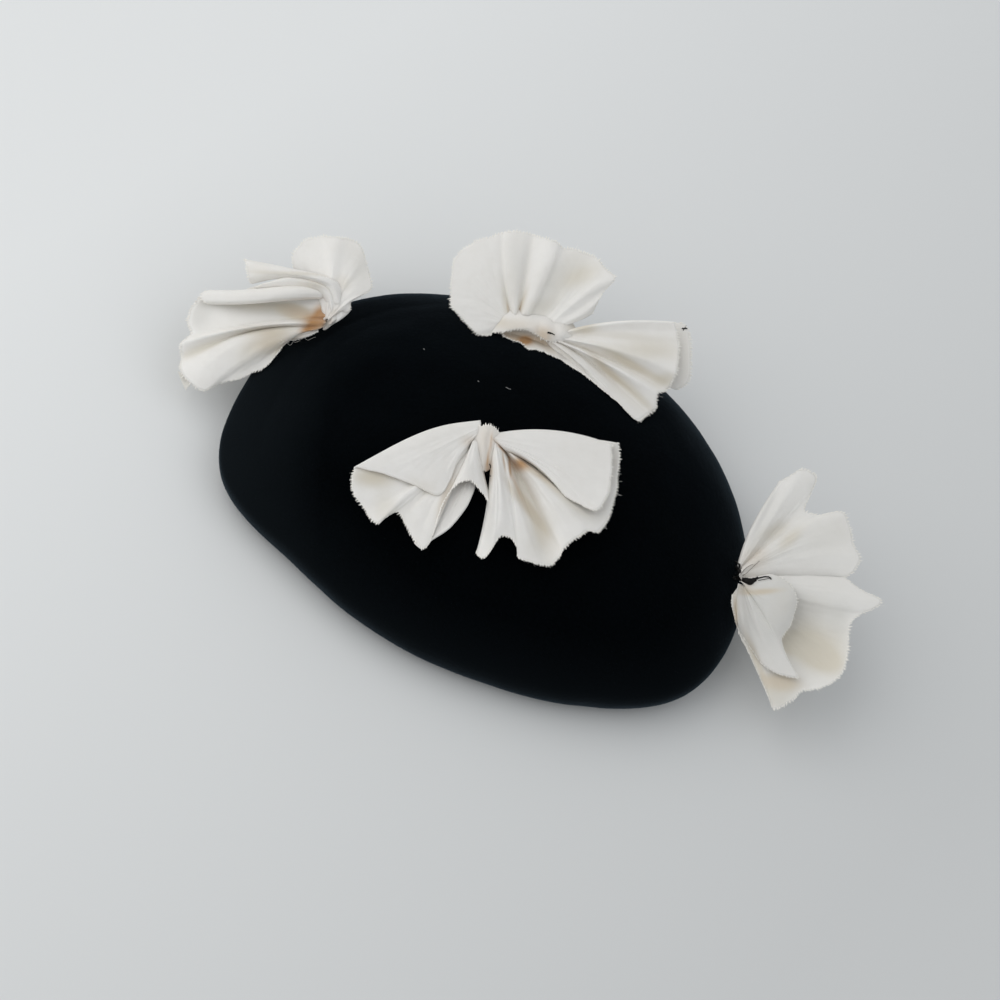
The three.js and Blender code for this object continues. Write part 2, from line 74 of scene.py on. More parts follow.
# ---------- the bows ----------
# A bow lies on a plane through "at" with the stated normal. a_mm runs across the bow and
# b_mm up it, in that plane, and h_mm is the height over it. Every row of a sheet is one ray
# of cloth: where it leaves the gather, where it is half way, and where its outer end lies.
# "fray" sheets end in a raw edge, "fold" sheets in a rounded fold, "smooth" sheets are
# like "fray" ones without pleats, and "plain" ones have neither pleats nor loose threads.
# columns of sheets: ga, gb, gh, ma, mb, mh, ea, eb, eh (a second middle point where a row has twelve)
# columns of tints, the silk's stains and the painted shade of its hollows and folds: sheet ("*" is every sheet),
# a, b, half_a, half_b, turn_deg, tan (stain), beige (painted warm shade), grey (painted grey shade)
# columns of threads: kind, radius_mm, lift_mm, then a, b of each point that it passes
BOWS = {
    "bow_center": {
        "at": (-21.37, -13.32, 60.6), "normal": (0, -0.12, 0.99),
        "sheets": {
            "left_low": ("fray", [
                (-4.7, 6.9, 2, -34.3, -2.2, 2, -61.6, -12.6, 2.5),
                (-4.7, 5.1, 2, -36.1, -8.6, 2, -63.8, -17.9, 3.5),
                (-4.7, 3.7, 2, -36.1, -15, 2.5, -62.9, -25.2, 4),
                (-4.7, 3.1, 2, -34.3, -19.5, 3.5, -58.1, -32.4, 3.5),
                (-4.7, 2.3, 3, -32.5, -20.4, 5.5, -52.3, -39.3, 5.5),
                (-4.7, 1.9, 3, -28.8, -20.4, 4.5, -48.3, -36.6, 4),
                (-4.7, 1.4, 3, -27, -21.3, 4, -42.3, -34.1, 3.5),
                (-5, 1, 3, -25.2, -22.2, 4.5, -37.8, -42.3, 4.5),
                (-5.4, 0.5, 4, -22.5, -23.1, 5.5, -33.4, -48.4, 5.5),
                (-5.9, 0.1, 4, -19.7, -24.1, 6, -30.5, -51, 6),
                (-6.8, -0.6, 4, -17, -22.2, 6, -26.8, -45.9, 6),
                (-7.5, -0.9, 5, -15, -17.7, 6.5, -22.6, -32.2, 7),
                (-8.1, -0.9, 6, -12.9, -13.1, 7.5, -18.1, -24.2, 8),
                (-7.9, -0.6, 7, -10.5, -11.3, 9, -13.5, -20.4, 9),
                (-7, -0.4, 7, -7.7, -10.4, 9.5, -8.6, -19.9, 9.5),
                (-6.1, -0.9, 7, -5.6, -12.2, 8.5, -4.7, -24.1, 8),
                (-5.5, -1.8, 6, -3.7, -15.9, 6, -1.4, -27.7, 6),
                (-5.2, -2.7, 5, -3, -17.2, 4.5, 1.2, -32.4, 4.5),
                (-4.8, -3.1, 3, -2.6, -16.3, 2, 1, -30.1, 2),
            ]),
            "left_flute": ("fold", [
                (-9.7, -5.1, 3, -22.9, -25.9, 3, -34.4, -47.6, 4.5),
                (-8.4, -4.8, 3, -20.6, -27.2, 3, -32.1, -49.5, 5.5),
                (-6.5, -4.5, 3, -17.9, -28.2, 3.2, -30.3, -50, 5.5),
                (-6.1, -4.9, 3.5, -15.6, -28.2, 3.8, -26.4, -46.5, 5.5),
                (-5.6, -5.4, 4, -12.9, -25, 4.4, -18.4, -40.8, 5.5),
                (-5.2, -5.9, 4, -9.3, -20.4, 4.6, -11, -31.6, 5),
                (-4.7, -6.3, 4, -6.3, -15.9, 4.2, -7.6, -24.2, 4.6),
                (-4.4, -6.3, 3, -5, -15, 3, -6.3, -20.4, 3),
            ]),
            "left_top": ("fold", [
                (-4.1, 7.4, 3, -22.5, 4.5, 3.4, -38.1, -1.5, 3.2, -62.3, -14.4, 2.6),
                (-4.4, 9.1, 5.2, -21.9, 6.4, 5.4, -38.3, 0.2, 5, -62.3, -13.1, 4.2),
                (-4.3, 8, 6.2, -22.4, 4.3, 6.7, -41.3, -2.7, 6.2, -60.9, -13, 4.8),
                (-4.3, 7.1, 6.6, -22, 1, 7.4, -39.2, -6.1, 7, -56, -14.4, 5.4),
                (-4.4, 6.2, 7, -21.2, -1.6, 8, -35.9, -9, 7.6, -48.5, -16.2, 5.8),
                (-4.8, 4.9, 7.2, -19.5, -4.1, 8.2, -29.8, -12.6, 8, -35.9, -20.8, 6.6),
                (-5.4, 3.4, 7.2, -16.1, -6.3, 8, -22.3, -16, 8.2, -23.9, -25.9, 7.6),
                (-6.1, 2.2, 7, -12.6, -4.5, 7.8, -16.8, -11.7, 8, -18.6, -19.5, 7.6),
                (-7.1, 0.9, 6.4, -10.4, -2.9, 6.9, -13.3, -7, 7, -15.5, -11.5, 6.8),
                (-8.1, -0.4, 5, -9.2, -2.1, 5.2, -10, -3.8, 5.2, -10.5, -5.3, 5),
            ]),
            "throat": ("smooth", [
                (-8.8, -7.7, 2, -8.8, -0.9, 4.5, -6.8, 6.3, 5.5),
                (-6.3, -11.3, 3, -6.8, -2, 6, -5.4, 7.1, 7),
                (-4.1, -13.3, 3.5, -4.6, -2.9, 7, -3.6, 7.2, 7.6),
                (-3.2, -14.6, 3.5, -2.8, -3.3, 8, -1.8, 7.4, 8.4),
                (-2.4, -15.1, 3, -1, -3.5, 7.6, 0.3, 7.4, 8.6),
                (-1.2, -14.6, 3, 0.7, -3.1, 8, 2.3, 6.7, 8.5),
                (1, -12.7, 3, 2.7, -2.2, 7.2, 4.1, 4.7, 7.8),
                (2.7, -9.5, 2, 4.8, -0.9, 6, 6.7, 2.3, 6),
            ]),
            "right_low": ("fray", [
                (0.5, -1.8, 2, -1, -27.2, 2, -6.1, -52.3, 2),
                (0.7, -0.6, 4, -0.4, -27.7, 5, -5.7, -53.8, 4.5),
                (1, 0.1, 6, 1.2, -27.7, 7, -3, -55, 6.5),
                (1.4, 0.1, 7, 2.8, -26.8, 7.5, -0.1, -52.3, 7.5),
                (2.1, -0.2, 8, 4.8, -25, 8.5, 4.8, -45.2, 7),
                (2.8, -0.8, 8, 6.8, -25, 7.5, 9.8, -46.4, 6),
                (3.7, -1.5, 8, 8.5, -25.9, 6.5, 12.8, -50.9, 6),
                (4.8, -2.4, 7, 10.1, -27.7, 6, 13.5, -55.2, 6.5),
                (5.7, -3.5, 6, 13, -29.5, 6.2, 21.8, -58, 6),
                (6.3, -4, 4.5, 15, -30.4, 3.2, 24.7, -58.6, 4.6),
                (7, -4.8, 3, 17.6, -30.1, -2, 28.6, -58.3, 3.6),
                (7.6, -5.1, 3.4, 20.1, -28.2, -0.5, 32.7, -54.6, 4.6),
                (8.1, -5.5, 5, 21.9, -24.8, 5.5, 35.2, -49.9, 7.5),
                (8.7, -5.9, 6, 23.9, -21.3, 9, 45.2, -43.3, 9),
                (9, -6, 6, 26.2, -19.5, 8.5, 50.5, -43.4, 8),
                (9, -5.7, 5, 29, -19.5, 5, 55.1, -38.6, 6),
                (8.8, -5.1, 4, 32.1, -17.7, 3, 58, -30.4, 4.5),
                (8.5, -4.5, 3, 34, -14, 2, 60, -21.3, 4),
                (7.6, -3.6, 3, 34.9, -6.8, 2, 61.9, -8.6, 4.5),
                (5.7, -0.9, 3, 33, 1.4, 5, 61, -1.3, 7),
            ]),
            "right_top": ("fray", [
                (0.8, 1.8, 3, 30.3, 2.2, 3.5, 58.3, -3.5, 4),
                (0.7, 2.5, 6.5, 29.4, 4.5, 7, 58.2, -2.6, 7.2),
                (1, 1.4, 8, 31.2, -0.7, 10, 58.1, -7.9, 8.6),
                (1.6, 0.5, 8.6, 32.1, -7, 11, 57.6, -16.8, 9.6),
                (2.3, -0.4, 8.6, 31.7, -11.6, 11, 55.6, -25, 10),
                (3.2, -1.5, 8.6, 29.4, -14.3, 10.8, 50.3, -33.2, 10.4),
                (4.5, -2.6, 8.2, 24.9, -13.1, 10.4, 41.1, -29.8, 10.2),
                (5.7, -3.7, 7.6, 21.2, -11.6, 9.6, 35.4, -26.6, 9.6),
                (7, -4.8, 6.8, 18.5, -10, 8.2, 30, -20.2, 8.6),
                (8.5, -6, 5, 15, -8.6, 5.4, 23.2, -13.7, 6),
            ]),
        },
        "tints": [
            ("left_low", -53.9, -18.1, 8.9, 4.2, -5, 0.03, 1, 0.45),
            ("left_low", -47.9, -30.9, 5, 6.8, 0, 0, 0.45, 0),
            ("left_top", -31.6, -22.1, 7.3, 3.6, -20, 0, 0.3, 0),
            ("left_low", -20.2, -25.9, 2, 10, -20, 0.2, 0.5, 0),
            ("left_flute", -13.4, -26.8, 7.3, 13.7, -30, 0, 0.05, 0),
            ("left_low", -8.8, -15.9, 2.7, 8.2, 5, 0, 0.1, 0.35),
            ("throat", -2.4, -3.1, 5.5, 9.1, 0, 0.07, 0.25, 0),
            ("throat", 0.5, -1.8, 0.5, 4.6, -6, 0.45, 0.15, 0),
            ("throat", -1, -8.6, 0.5, 4.1, -6, 0.5, 0.1, 0),
            ("*", -0.6, -14, 2, 5, 0, 0.5, 0.5, 0),
            ("left_top", -9.7, -0.9, 3.6, 2.7, 0, 0.2, 0.3, 0),
            ("throat", -2, 5.1, 5.5, 4.6, 0, 0.02, 0.12, 0),
            ("right_low", 13.9, -11.5, 4, 3.1, -10, 0.86, 0.5, 0),
            ("*", 5.9, -4.8, 0.5, 5.6, 42, 1, 0.2, 0),
            ("right_low", 9.1, -12.2, 0.5, 4.7, 4, 1, 0.3, 0),
            ("right_low", 6.3, -10, 0.5, 4.6, 8, 0.6, 0.2, 0),
            ("right_top", 12.7, -8.6, 5.3, 1.1, -32, 0.75, 0.4, 0),
            ("right_low", 20.3, -14.6, 8.2, 2, -33, 0.2, 0.7, 0),
            ("right_low", 18.5, -9.5, 5.5, 2.7, -25, 0.1, 0.4, 0),
            ("right_low", 16.2, -30, 2.2, 13.7, 38, 0.14, 0.9, 0.25),
            ("right_low", 11.7, -20.4, 0.8, 7.3, 24, 0.35, 0.4, 0),
            ("right_low", 26.7, -19.5, 7.3, 1.8, -42, 0.1, 0.5, 0),
            ("right_low", 34.9, -27.7, 10.9, 2, -38, 0, 0.5, 0.2),
            ("right_low", 44.9, -35, 10, 3.6, -18, 0, 0.25, 0.3),
            ("right_low", 59.3, -8.6, 2.2, 10.9, 0, 0, 0.3, 0.6),
            ("right_low", -0.6, -28.6, 2.7, 18.2, 0, 0, 0.2, 0.35),
            ("right_low", 23, -45, 5.5, 10.9, -30, 0, 0.3, 0.25),
        ],
        "threads": [
            ("black", 0.22, 0.1, -2.6, -14.6, -1.7, -15.7, -0.6, -16.6, 0.5, -17),
            ("black", 0.2, 0.1, -0.2, -11.3, 0.3, -12.7, 0, -14.2),
            ("lint", 0.16, 0.2, 7.4, 25.8, 8.5, 25.1, 9.8, 24.7),
            ("lint", 0.2, 0.2, -5.9, 28.7, -5.4, 28.4),
            ("lint", 0.18, 0.2, -32.1, 44.7, -31.7, 44.2),
            ("silk", 0.06, 0.35, 44.9, -28.6, 48.5, -31.2, 53.1, -32.2, 56.7, -35.9),
        ],
    },
    "bow_left": {
        "at": (-120.92, 27.8, 30.5), "normal": (0, -0.36, 0.93),
        "sheets": {
            "back": ("smooth", [
                (1.7, -0, 2, -4.4, 17.7, 2, -13.3, 24.8, 2),
                (1.7, 0.1, 3, -3.7, 19.7, 3, -14.1, 33.4, 4),
                (1.9, 0.3, 3.5, -1, 22.5, 4.5, -8.5, 40.5, 6),
                (2.3, 0.7, 4, 2.5, 23.8, 6, -1.7, 42.3, 7),
                (2.6, 0.9, 5, 5.8, 23.8, 7.5, 6.5, 42.1, 7.5),
                (2.9, 1.1, 5.5, 8.9, 22.8, 6.5, 14.3, 41, 6),
                (3.3, 1.2, 6, 11.3, 19.7, 7, 20.2, 36.8, 6),
                (3.6, 1.2, 6, 12.7, 15.7, 7, 23.6, 25.2, 5),
                (3.9, 1, 6.5, 13.3, 10.9, 7.5, 24.9, 16.3, 6),
                (4, 0.7, 6.5, 11.3, 6.8, 7.5, 15.3, 10, 6.5),
                (4, 0.3, 6, 9.5, 4.4, 6.5, 14.7, 5.6, 6),
                (3.8, -0.1, 4, 6.1, 1, 4, 8.9, 2, 4),
            ]),
            "band_1": ("fray", [
                (14.4, 5.3, 3, 8.3, 19.7, 5.5, -15.3, 25.9, 6, -36.9, 30.1, 5.5),
                (12.9, 3.3, 5, 6.8, 19.2, 8, -15.8, 24.8, 9, -36.8, 28.6, 8),
                (10.7, 1.5, 6, 5, 18.2, 9.2, -16.3, 23.4, 10, -36.3, 24.5, 8.5),
                (8.5, -0.1, 5.6, 3.4, 17.2, 8.4, -16.7, 22.1, 9, -35.6, 20.8, 7.5),
                (6.6, -1.1, 4, 2, 16.2, 6, -16.9, 20.8, 6, -33.8, 18.1, 4),
            ]),
            "band_2": ("fray", [
                (8.8, 2, 4.6, 4.4, 16.2, 6, -13, 21.9, 6, -25.5, 18.4, 4.5),
                (7.4, 0.5, 6, 3.5, 15.2, 8, -13.9, 20.4, 8.6, -27.4, 18, 7),
                (5.8, -0.8, 5.8, 2.3, 13.9, 7.6, -15.3, 17.8, 7.5, -31.6, 16.2, 6.5),
                (4, -2.2, 3.6, 1, 12.1, 4.6, -16.1, 15, 4.5, -35, 13.9, 4),
            ]),
            "panel": ("plain", [
                (5.1, 17, 1, -5.1, 19.7, 1.4, -15.3, 19.1, 2, -29.6, 17.7, 2),
                (4.4, 15, 2, -5.8, 17, 3, -16, 16.3, 4, -35, 15.9, 3),
                (3.1, 11.6, 2, -7.8, 12.9, 3, -18.7, 12.9, 4, -40.5, 12.9, 3),
            ]),
            "roll": ("fray", [
                (3.6, 15.9, 2, -10.5, 17.3, 6, -35, 15.1, 6.5, -53.8, 14.7, 4.5),
                (3.2, 14.8, 4, -11.6, 16.2, 9, -35.7, 14, 9.4, -55.5, 13.9, 7),
                (2.7, 13.7, 5, -12.6, 14.4, 10.4, -35.9, 12.4, 10.6, -57.1, 12.7, 8),
                (2, 12.7, 5, -13.3, 12.4, 10.4, -36.1, 10.5, 10.6, -57.4, 10.9, 8),
                (1.3, 11.8, 4.5, -14.1, 10.8, 9.4, -35.9, 9, 9.8, -55.7, 8.8, 7.4),
                (0.5, 11.2, 3, -14.8, 9.9, 6.8, -35.6, 8, 7.2, -52.5, 7.8, 5),
            ]),
            "wrap": ("plain", [
                (1, -4, 1, 2.3, 2.4, 2.4, 3.1, 8.8, 3, 2.8, 15, 3),
                (1.7, -4.1, 1, 3.9, 2, 4, 5.1, 8.2, 4.4, 5.4, 15.1, 4),
                (2.5, -3.8, 1, 6.1, 1.8, 4.8, 8.3, 7.5, 5, 8.9, 14.8, 4.4),
                (3.5, -3.1, 1, 8.5, 1.6, 4, 11.3, 6.4, 4.4, 11.9, 13.9, 4),
                (4.4, -1.9, 0, 10.3, 1.5, 2, 14, 5.3, 3, 14.4, 10.2, 3),
            ]),
            "hollow": ("smooth", [
                (3.9, 12.9, 3, -15.3, 14.3, 2, -55.5, 12.9, 3.5),
                (3.8, 9.9, 3, -16.7, 11.6, 1.4, -58.5, 11.6, 4),
                (3.6, 6.8, 4, -18.7, 8.8, 1.2, -60.8, 8.8, 4.5),
                (3.5, 4.6, 3, -19.7, 6.1, 1.8, -63, 4.8, 5),
                (3.4, 2.7, 4.6, -21.1, 2.4, 3.2, -63.9, -0.7, 5.8),
                (3.1, 0.9, 2.8, -22.5, -0, 4.5, -62.1, -6.5, 7),
                (2.7, -0.7, 5.5, -26.2, -1.5, 9, -63.9, -9.4, 9),
                (2, -2.2, 5, -28.9, -3.1, 11.5, -66.2, -12.1, 10),
                (0.8, -3.3, 5.5, -31.6, -5.1, 6.5, -66.5, -18.4, 7.5),
                (-0.9, -4, 5.5, -35, -7, 9.5, -66, -24.9, 9),
                (-3, -4.5, 6.5, -35, -10.9, 11, -61.1, -31.3, 10),
                (-5.1, -4.9, 6.5, -32.3, -15.7, 10.5, -54.8, -34.7, 9),
                (-7.1, -5.2, 6, -28.9, -17.7, 8.5, -47, -30.6, 7.5),
                (-8.5, -5.6, 5, -25.5, -17.2, 7, -39.7, -29.4, 7),
                (-9.5, -5.9, 5, -22.5, -15.4, 6, -32.6, -26, 6.5),
                (-10.2, -6.1, 4, -19.4, -13.5, 5, -25.9, -22.9, 6),
                (-10.5, -6.5, 4, -16.5, -11.3, 5, -18.7, -13.6, 6),
            ]),
            "frill": ("fray", [
                (-5.1, -4.2, 5, -12.6, -6.8, 6, -18.7, -10.8, 6),
                (-4.4, -4.4, 5, -10.9, -7.5, 6, -16.3, -9, 5),
                (-3.7, -4.4, 4, -8.8, -7.5, 5, -13.8, -9.7, 4),
                (-2.7, -4.1, 4, -5.1, -6.7, 5, -7.8, -8.3, 4),
                (-1, -3.4, 3, -0.9, -4.6, 4, -0.9, -5.9, 4),
            ]),
            "corner": ("plain", [
                (-66.8, -24.9, 8.8, -65.1, -29.7, 8, -63, -34.2, 7.4),
                (-65.5, -25.5, 8.8, -63.5, -29.6, 8.2, -61.7, -32.8, 8),
                (-64.2, -25.7, 8.6, -62, -28.9, 8.4, -60.1, -31.2, 8.8),
            ]),
        },
        "tints": [
            ("corner", -65.7, -29.3, 7.5, 7.5, 0, 0, 0.45, 1),
            ("wrap", 2.4, 0.7, 2, 4.8, 0, 0.25, 0.4, 0),
            ("band_1", 10.6, 8.8, 2.7, 5.4, -20, 0, 0.12, 0.2),
            ("hollow", -1.7, -0.7, 5.7, 4.5, 0, 1, 0.2, 0),
            ("hollow", 0.4, 4.8, 3.4, 3.7, 0, 0.8, 0.2, 0),
            ("hollow", -6.1, -4.4, 3.8, 1.8, 20, 0.8, 0.3, 0),
            ("hollow", -9.5, 3.4, 6.1, 3.7, -20, 0.22, 0.8, 0),
            ("panel", -11.9, 15, 27.2, 4.1, 0, 0, 0.2, 0.3),
            ("hollow", -36.4, 8.4, 17.7, 3, -3, 0.02, 0.5, 1),
            ("hollow", -14.6, 6.1, 6.1, 3.1, -15, 0.1, 0.6, 0),
            ("band_2", 4.4, -0.7, 2, 2.7, 0, 0.2, 0.4, 0),
            ("hollow", -22.8, 5.7, 19.7, 3.7, -3, 0, 0.35, 0.75),
            ("hollow", -14.5, 4.2, 6.1, 3.4, -15, 0.08, 0.5, 0),
            ("hollow", -57.9, 3.4, 5.4, 8.2, 0, 0, 0.15, 0.7),
            ("hollow", -27.7, -5, 12.9, 2.7, 3, 0.05, 0.6, 0),
            ("hollow", -22.8, -10.6, 10.2, 5.3, 18, 0.16, 0.95, 0),
            ("frill", -16, -9, 8.2, 2.7, 20, 0.3, 0.6, 0),
            ("hollow", -56.8, -14.3, 12.9, 2.5, 22, 0, 0.55, 0.1),
            ("hollow", -35, -16.3, 4.1, 7.5, -20, 0, 0.3, 0.1),
            ("band_1", -13.3, 23, 17.7, 1, -2, 0.02, 0.6, 0.1),
            ("band_1", -29.6, 24.5, 6.1, 4.1, 0, 0, 0.25, 0),
            ("band_2", -4.4, 17, 7.5, 3.1, 5, 0.06, 0.55, 0),
            ("back", 19.1, 27.9, 6.5, 14.3, 10, 0, 0.2, 0.5),
            ("back", 10.6, 18.4, 4.1, 4.1, 0, 0.05, 0.35, 0.1),
            ("back", 7.8, 3.4, 4.1, 3.4, 0, 0.15, 0.3, 0.2),
        ],
        "threads": [
            ("silk", 0.08, 0.3, -18.3, -9.3, -16.9, -10.6, -15.2, -10.6, -15.3, -9.4, -16.3, -10.1),
            ("silk", 0.08, 0.3, -16, -10.1, -14.8, -11.7, -13.3, -10.1),
            ("silk", 0.08, 0.3, -19.4, -10.9, -17.9, -11, -16.9, -10.1),
            ("silk", 0.08, 0.3, -14.1, -9.1, -11.9, -10.1, -9.9, -8.9),
            ("silk", 0.07, 0.3, -7.8, -7.9, -6.1, -9, -4.4, -8, -2.4, -7.5),
            ("silk", 0.06, 0.3, -40.5, -28.6, -45.9, -30.6, -51.4, -32.3, -54.1, -35.1),
        ],
    },
    "bow_back": {
        "at": (-19.77, 66.67, 48.5), "normal": (0, -0.45, 0.89),
        "sheets": {
            "under": ("smooth", [
                (-1.6, 8.1, 0, -13.7, 7.2, 0, -25, 4.8, 1),
                (-2.4, 4, 1, -14.5, 3.5, 0.5, -23.8, 2.6, 1.5),
                (-3, 0.8, 1.5, -15.3, 0.8, 1, -21.6, -0, 2),
                (-2.8, 0.8, 1.5, -12.9, -1, 1, -17.7, -2.3, 1.5),
                (-2.4, 0.3, 1.5, -9.7, -2.9, 1, -12.7, -4.1, 1.5),
                (-1.7, -0.2, 1.5, -6.4, -4.7, 1, -9.7, -7.3, 1.5),
                (-0.6, -0.7, 1.5, -2.2, -5, 1.5, -3.2, -7.9, 1.5),
                (0.9, -1.2, 1.5, 3.6, -6.7, 1.2, 8.6, -12.8, 1.5),
                (2.3, -1.2, 1.5, 7.7, -7, 1, 14.6, -13.5, 1.5),
            ]),
            "left_wing": ("smooth", [
                (-17.7, 4.8, 3, -23.8, 2.6, 4, -27.5, -0.5, 5),
                (-18.4, 5.3, 3, -27.5, 4, 5.79, -35.1, 0.8, 6.12),
                (-18.9, 6, 4, -30.7, 8.1, 6.12, -41.2, 7.9, 6.12),
                (-19, 6.6, 4, -32.7, 12.5, 6.45, -46.7, 13.6, 6.12),
                (-19, 7.1, 4, -33.5, 16.1, 6.45, -47.5, 19.2, 6.12),
                (-18.7, 7.6, 4, -33.1, 21, 6.45, -46.5, 29.9, 6.78),
                (-18.4, 7.9, 4, -30.8, 25.5, 6.45, -44.4, 38.8, 6.78),
                (-17.9, 8.2, 4, -27.5, 28.3, 6.45, -35.5, 46.2, 6.78),
                (-17.4, 8.5, 3.5, -23.6, 29.5, 6.25, -25.8, 49.5, 6.51),
                (-16.8, 8.9, 2.2, -21, 29.9, 5.46, -21.5, 51.1, 6.25),
                (-16.1, 9.2, 3.5, -19.2, 30.3, 6.64, -19, 51.6, 7.04),
                (-15.3, 9.4, 4.6, -16, 30.7, 7.44, -15.2, 51.7, 7.44),
                (-14.5, 9.5, 4.4, -12.7, 30.6, 7.17, -10.1, 51.1, 7.17),
                (-13.7, 9.7, 2, -9.9, 30.1, 5.46, -6.7, 50.1, 6.25),
                (-12.7, 9.7, 4, -6.7, 29.5, 6.78, -4, 49.3, 6.78),
                (-11.1, 9.7, 5.4, -2.7, 29.1, 8.23, 0.7, 48.2, 7.83),
                (-9, 9.4, 5.4, 0.1, 28.1, 7.96, 5.6, 46.1, 7.57),
                (-7.1, 8.9, 3.6, 1.7, 25.4, 5.85, 8.6, 43.7, 5.59),
                (-4, 8.2, 2.8, 6.2, 23.9, 5.06, 13, 43.3, 5.06),
                (-1.4, 7.7, 3, 10.4, 23.3, 5.19, 18.7, 41.7, 5.19),
                (0.5, 7.2, 3.6, 14, 22.5, 5.85, 25.1, 38.8, 5.59),
                (1.8, 6.8, 4, 17.2, 21.7, 6.64, 30.2, 33.1, 6.25),
                (2.8, 6.1, 4.6, 19.6, 20, 7.04, 34.2, 28.4, 6.51),
                (3.3, 5.1, 4.8, 19.5, 15.7, 5.46, 29.2, 22.6, 5.46),
                (3.6, 4.2, 4.6, 18, 11.1, 5.59, 26.1, 17.6, 5.06),
                (3.8, 3.2, 4, 15.4, 7.1, 4, 23.1, 11.1, 3),
            ]),
            "front": ("smooth", [
                (-21.6, 14.5, 0, -25.7, 8.9, 1.6, -29.4, 0.8, 4.2),
                (-18.4, 14.5, 1, -20.7, 8.1, 5.2, -23.6, 0.6, 6.4),
                (-15.2, 14.4, 1.2, -16, 7.4, 6.6, -17.7, 1.4, 7.4),
                (-11.6, 13.9, 1.4, -11.3, 6.8, 7.2, -12.1, 1.9, 7.6),
                (-7.6, 12.9, 1.6, -6.7, 6, 7, -7.1, 0.9, 7),
                (-3.6, 11.6, 1.8, -2.7, 4.7, 6.4, -3.8, -1.3, 6),
                (-0.3, 10.3, 2.2, 0.9, 3.5, 7, -0.1, -3.6, 6),
                (2.9, 9.4, 2.4, 4.1, 2.9, 6.2, 4.1, -4.1, 5),
                (6.5, 8.4, 2.4, 8.1, 2.2, 6.8, 8.8, -3.6, 5),
                (10.2, 7.4, 1.6, 12.2, 1.9, 4.4, 13, -2.6, 3),
                (13, 6.4, 0, 15.4, 1.9, 1.4, 16.1, -1, 0.5),
            ]),
            "back_layer": ("fray", [
                (9.8, 0.8, 0, 37.3, 4.8, 0, 67.2, 6.8, 0),
                (10.3, 0.5, 0, 38.1, 2.9, 0, 70.4, 3.5, 0.5),
                (10.6, -0, 0, 38.9, -0, 0, 71.7, -3.3, 1),
                (11.4, -1.7, 0, 39.7, -6.5, 0, 71.7, -14.6, 1.5),
                (11.4, -2.5, 0, 38.9, -11.4, 0, 69.6, -23.5, 1),
                (10.6, -2.9, 0, 35.7, -13.8, 0, 64, -26.7, 0),
            ]),
            "right_wing": ("smooth", [
                (0.5, -3.4, 2, 4.9, -8.3, 2, 8.8, -13.1, 3),
                (1.3, -3.1, 3, 11.4, -10.7, 4.92, 19.5, -20.3, 5.32),
                (2.1, -2.9, 4.5, 17, -15, 7.32, 29.2, -28.4, 6.52),
                (2.5, -2.9, 5, 19.1, -16.6, 7.56, 35.3, -33.2, 7.08),
                (2.9, -2.9, 5, 20.7, -16.6, 7.08, 39.7, -38.2, 7.24),
                (3.3, -2.9, 4.5, 22.3, -15.8, 5.64, 44.7, -42.3, 7.08),
                (3.7, -2.6, 4, 24.7, -15.2, 3.4, 49.9, -39, 5),
                (4.1, -2.5, 4.5, 27.6, -15.2, 6.12, 53.7, -36.4, 6.44),
                (4.5, -2.3, 5.4, 30, -14.4, 8.84, 54.3, -29.3, 7.88),
                (4.9, -2.1, 5, 31.8, -13.6, 6.92, 55.9, -28, 6.92),
                (5.3, -2, 4, 33.2, -12.6, 4.2, 59.3, -27.4, 5.16),
                (5.7, -1.7, 4.8, 34.8, -10.7, 6.6, 61.7, -24.8, 6.44),
                (6.1, -1.4, 5.6, 36.1, -8.1, 9.32, 64.1, -18.6, 8.52),
                (6.5, -1, 5, 36.5, -5.3, 7.72, 65.3, -12.2, 6.92),
                (6.9, -0.5, 4.2, 36.3, -1.8, 5.8, 65.6, -5, 5.32),
                (6.9, -0, 4.4, 35.5, 2.2, 6.12, 64.8, 1.3, 6.12),
                (6.7, 0.6, 5.6, 34.2, 6, 8.04, 63.6, 6.3, 7.88),
                (6.2, 1.3, 4, 33.4, 6.9, 6, 62, 6.1, 5.6),
            ]),
        },
        "tints": [
            ("left_wing", -20, 16.1, 1.5, 8.1, 9, 0, 0.5, 0.1),
            ("left_wing", -11.3, 16.1, 1.3, 7.3, -18, 0.05, 0.55, 0.05),
            ("left_wing", -18.7, 12.9, 0.5, 3.6, 8, 0.3, 0.4, 0),
            ("left_wing", -12.7, 12.9, 0.5, 3.6, -14, 0.3, 0.4, 0),
            ("front", -25, 8.1, 5.7, 3.2, -20, 0.05, 0.5, 0),
            ("left_wing", -15.3, 22.6, 4.9, 11.3, 0, 0, 0.2, 0.25),
            ("left_wing", -14.8, 39.2, 6.9, 12.1, 0, 0, 0.12, 0.4),
            ("right_wing", 53.5, -5.3, 12.1, 4, -5, 0, 0.3, 0.15),
            ("left_wing", 9.8, 29.9, 7.7, 16.2, -48, 0, 0.3, 0.6),
            ("left_wing", -3.2, 13.7, 7.3, 4, 20, 0, 0.4, 0.4),
            ("left_wing", 17.9, 29.1, 8.9, 4.4, 25, 0, 0.55, 0),
            ("front", -16.1, 4.8, 11.3, 3.2, 0, 0.08, 0.45, 0),
            ("front", -1.6, 0.8, 4.9, 4, -10, 0.16, 0.45, 0),
            ("front", 17.9, 3.6, 8.9, 2.9, 0, 0.08, 0.75, 0),
            ("under", -15.3, -1, 13.8, 3.6, -8, 0.35, 1, 0.3),
            ("under", -10.1, -2.5, 3.6, 2.4, 0, 0.95, 0.4, 0),
            ("under", 0.9, -5.7, 6.5, 2.4, -40, 0.15, 0.5, 0.2),
            ("*", -1.6, -0.8, 3.6, 3.6, 0, 0.12, 0.4, 0),
            ("right_wing", 17.9, 3.6, 6.5, 3.2, 0, 0.1, 0.85, 0),
            ("right_wing", 46.2, -8.1, 18.6, 3.9, -6, 0, 0.5, 0),
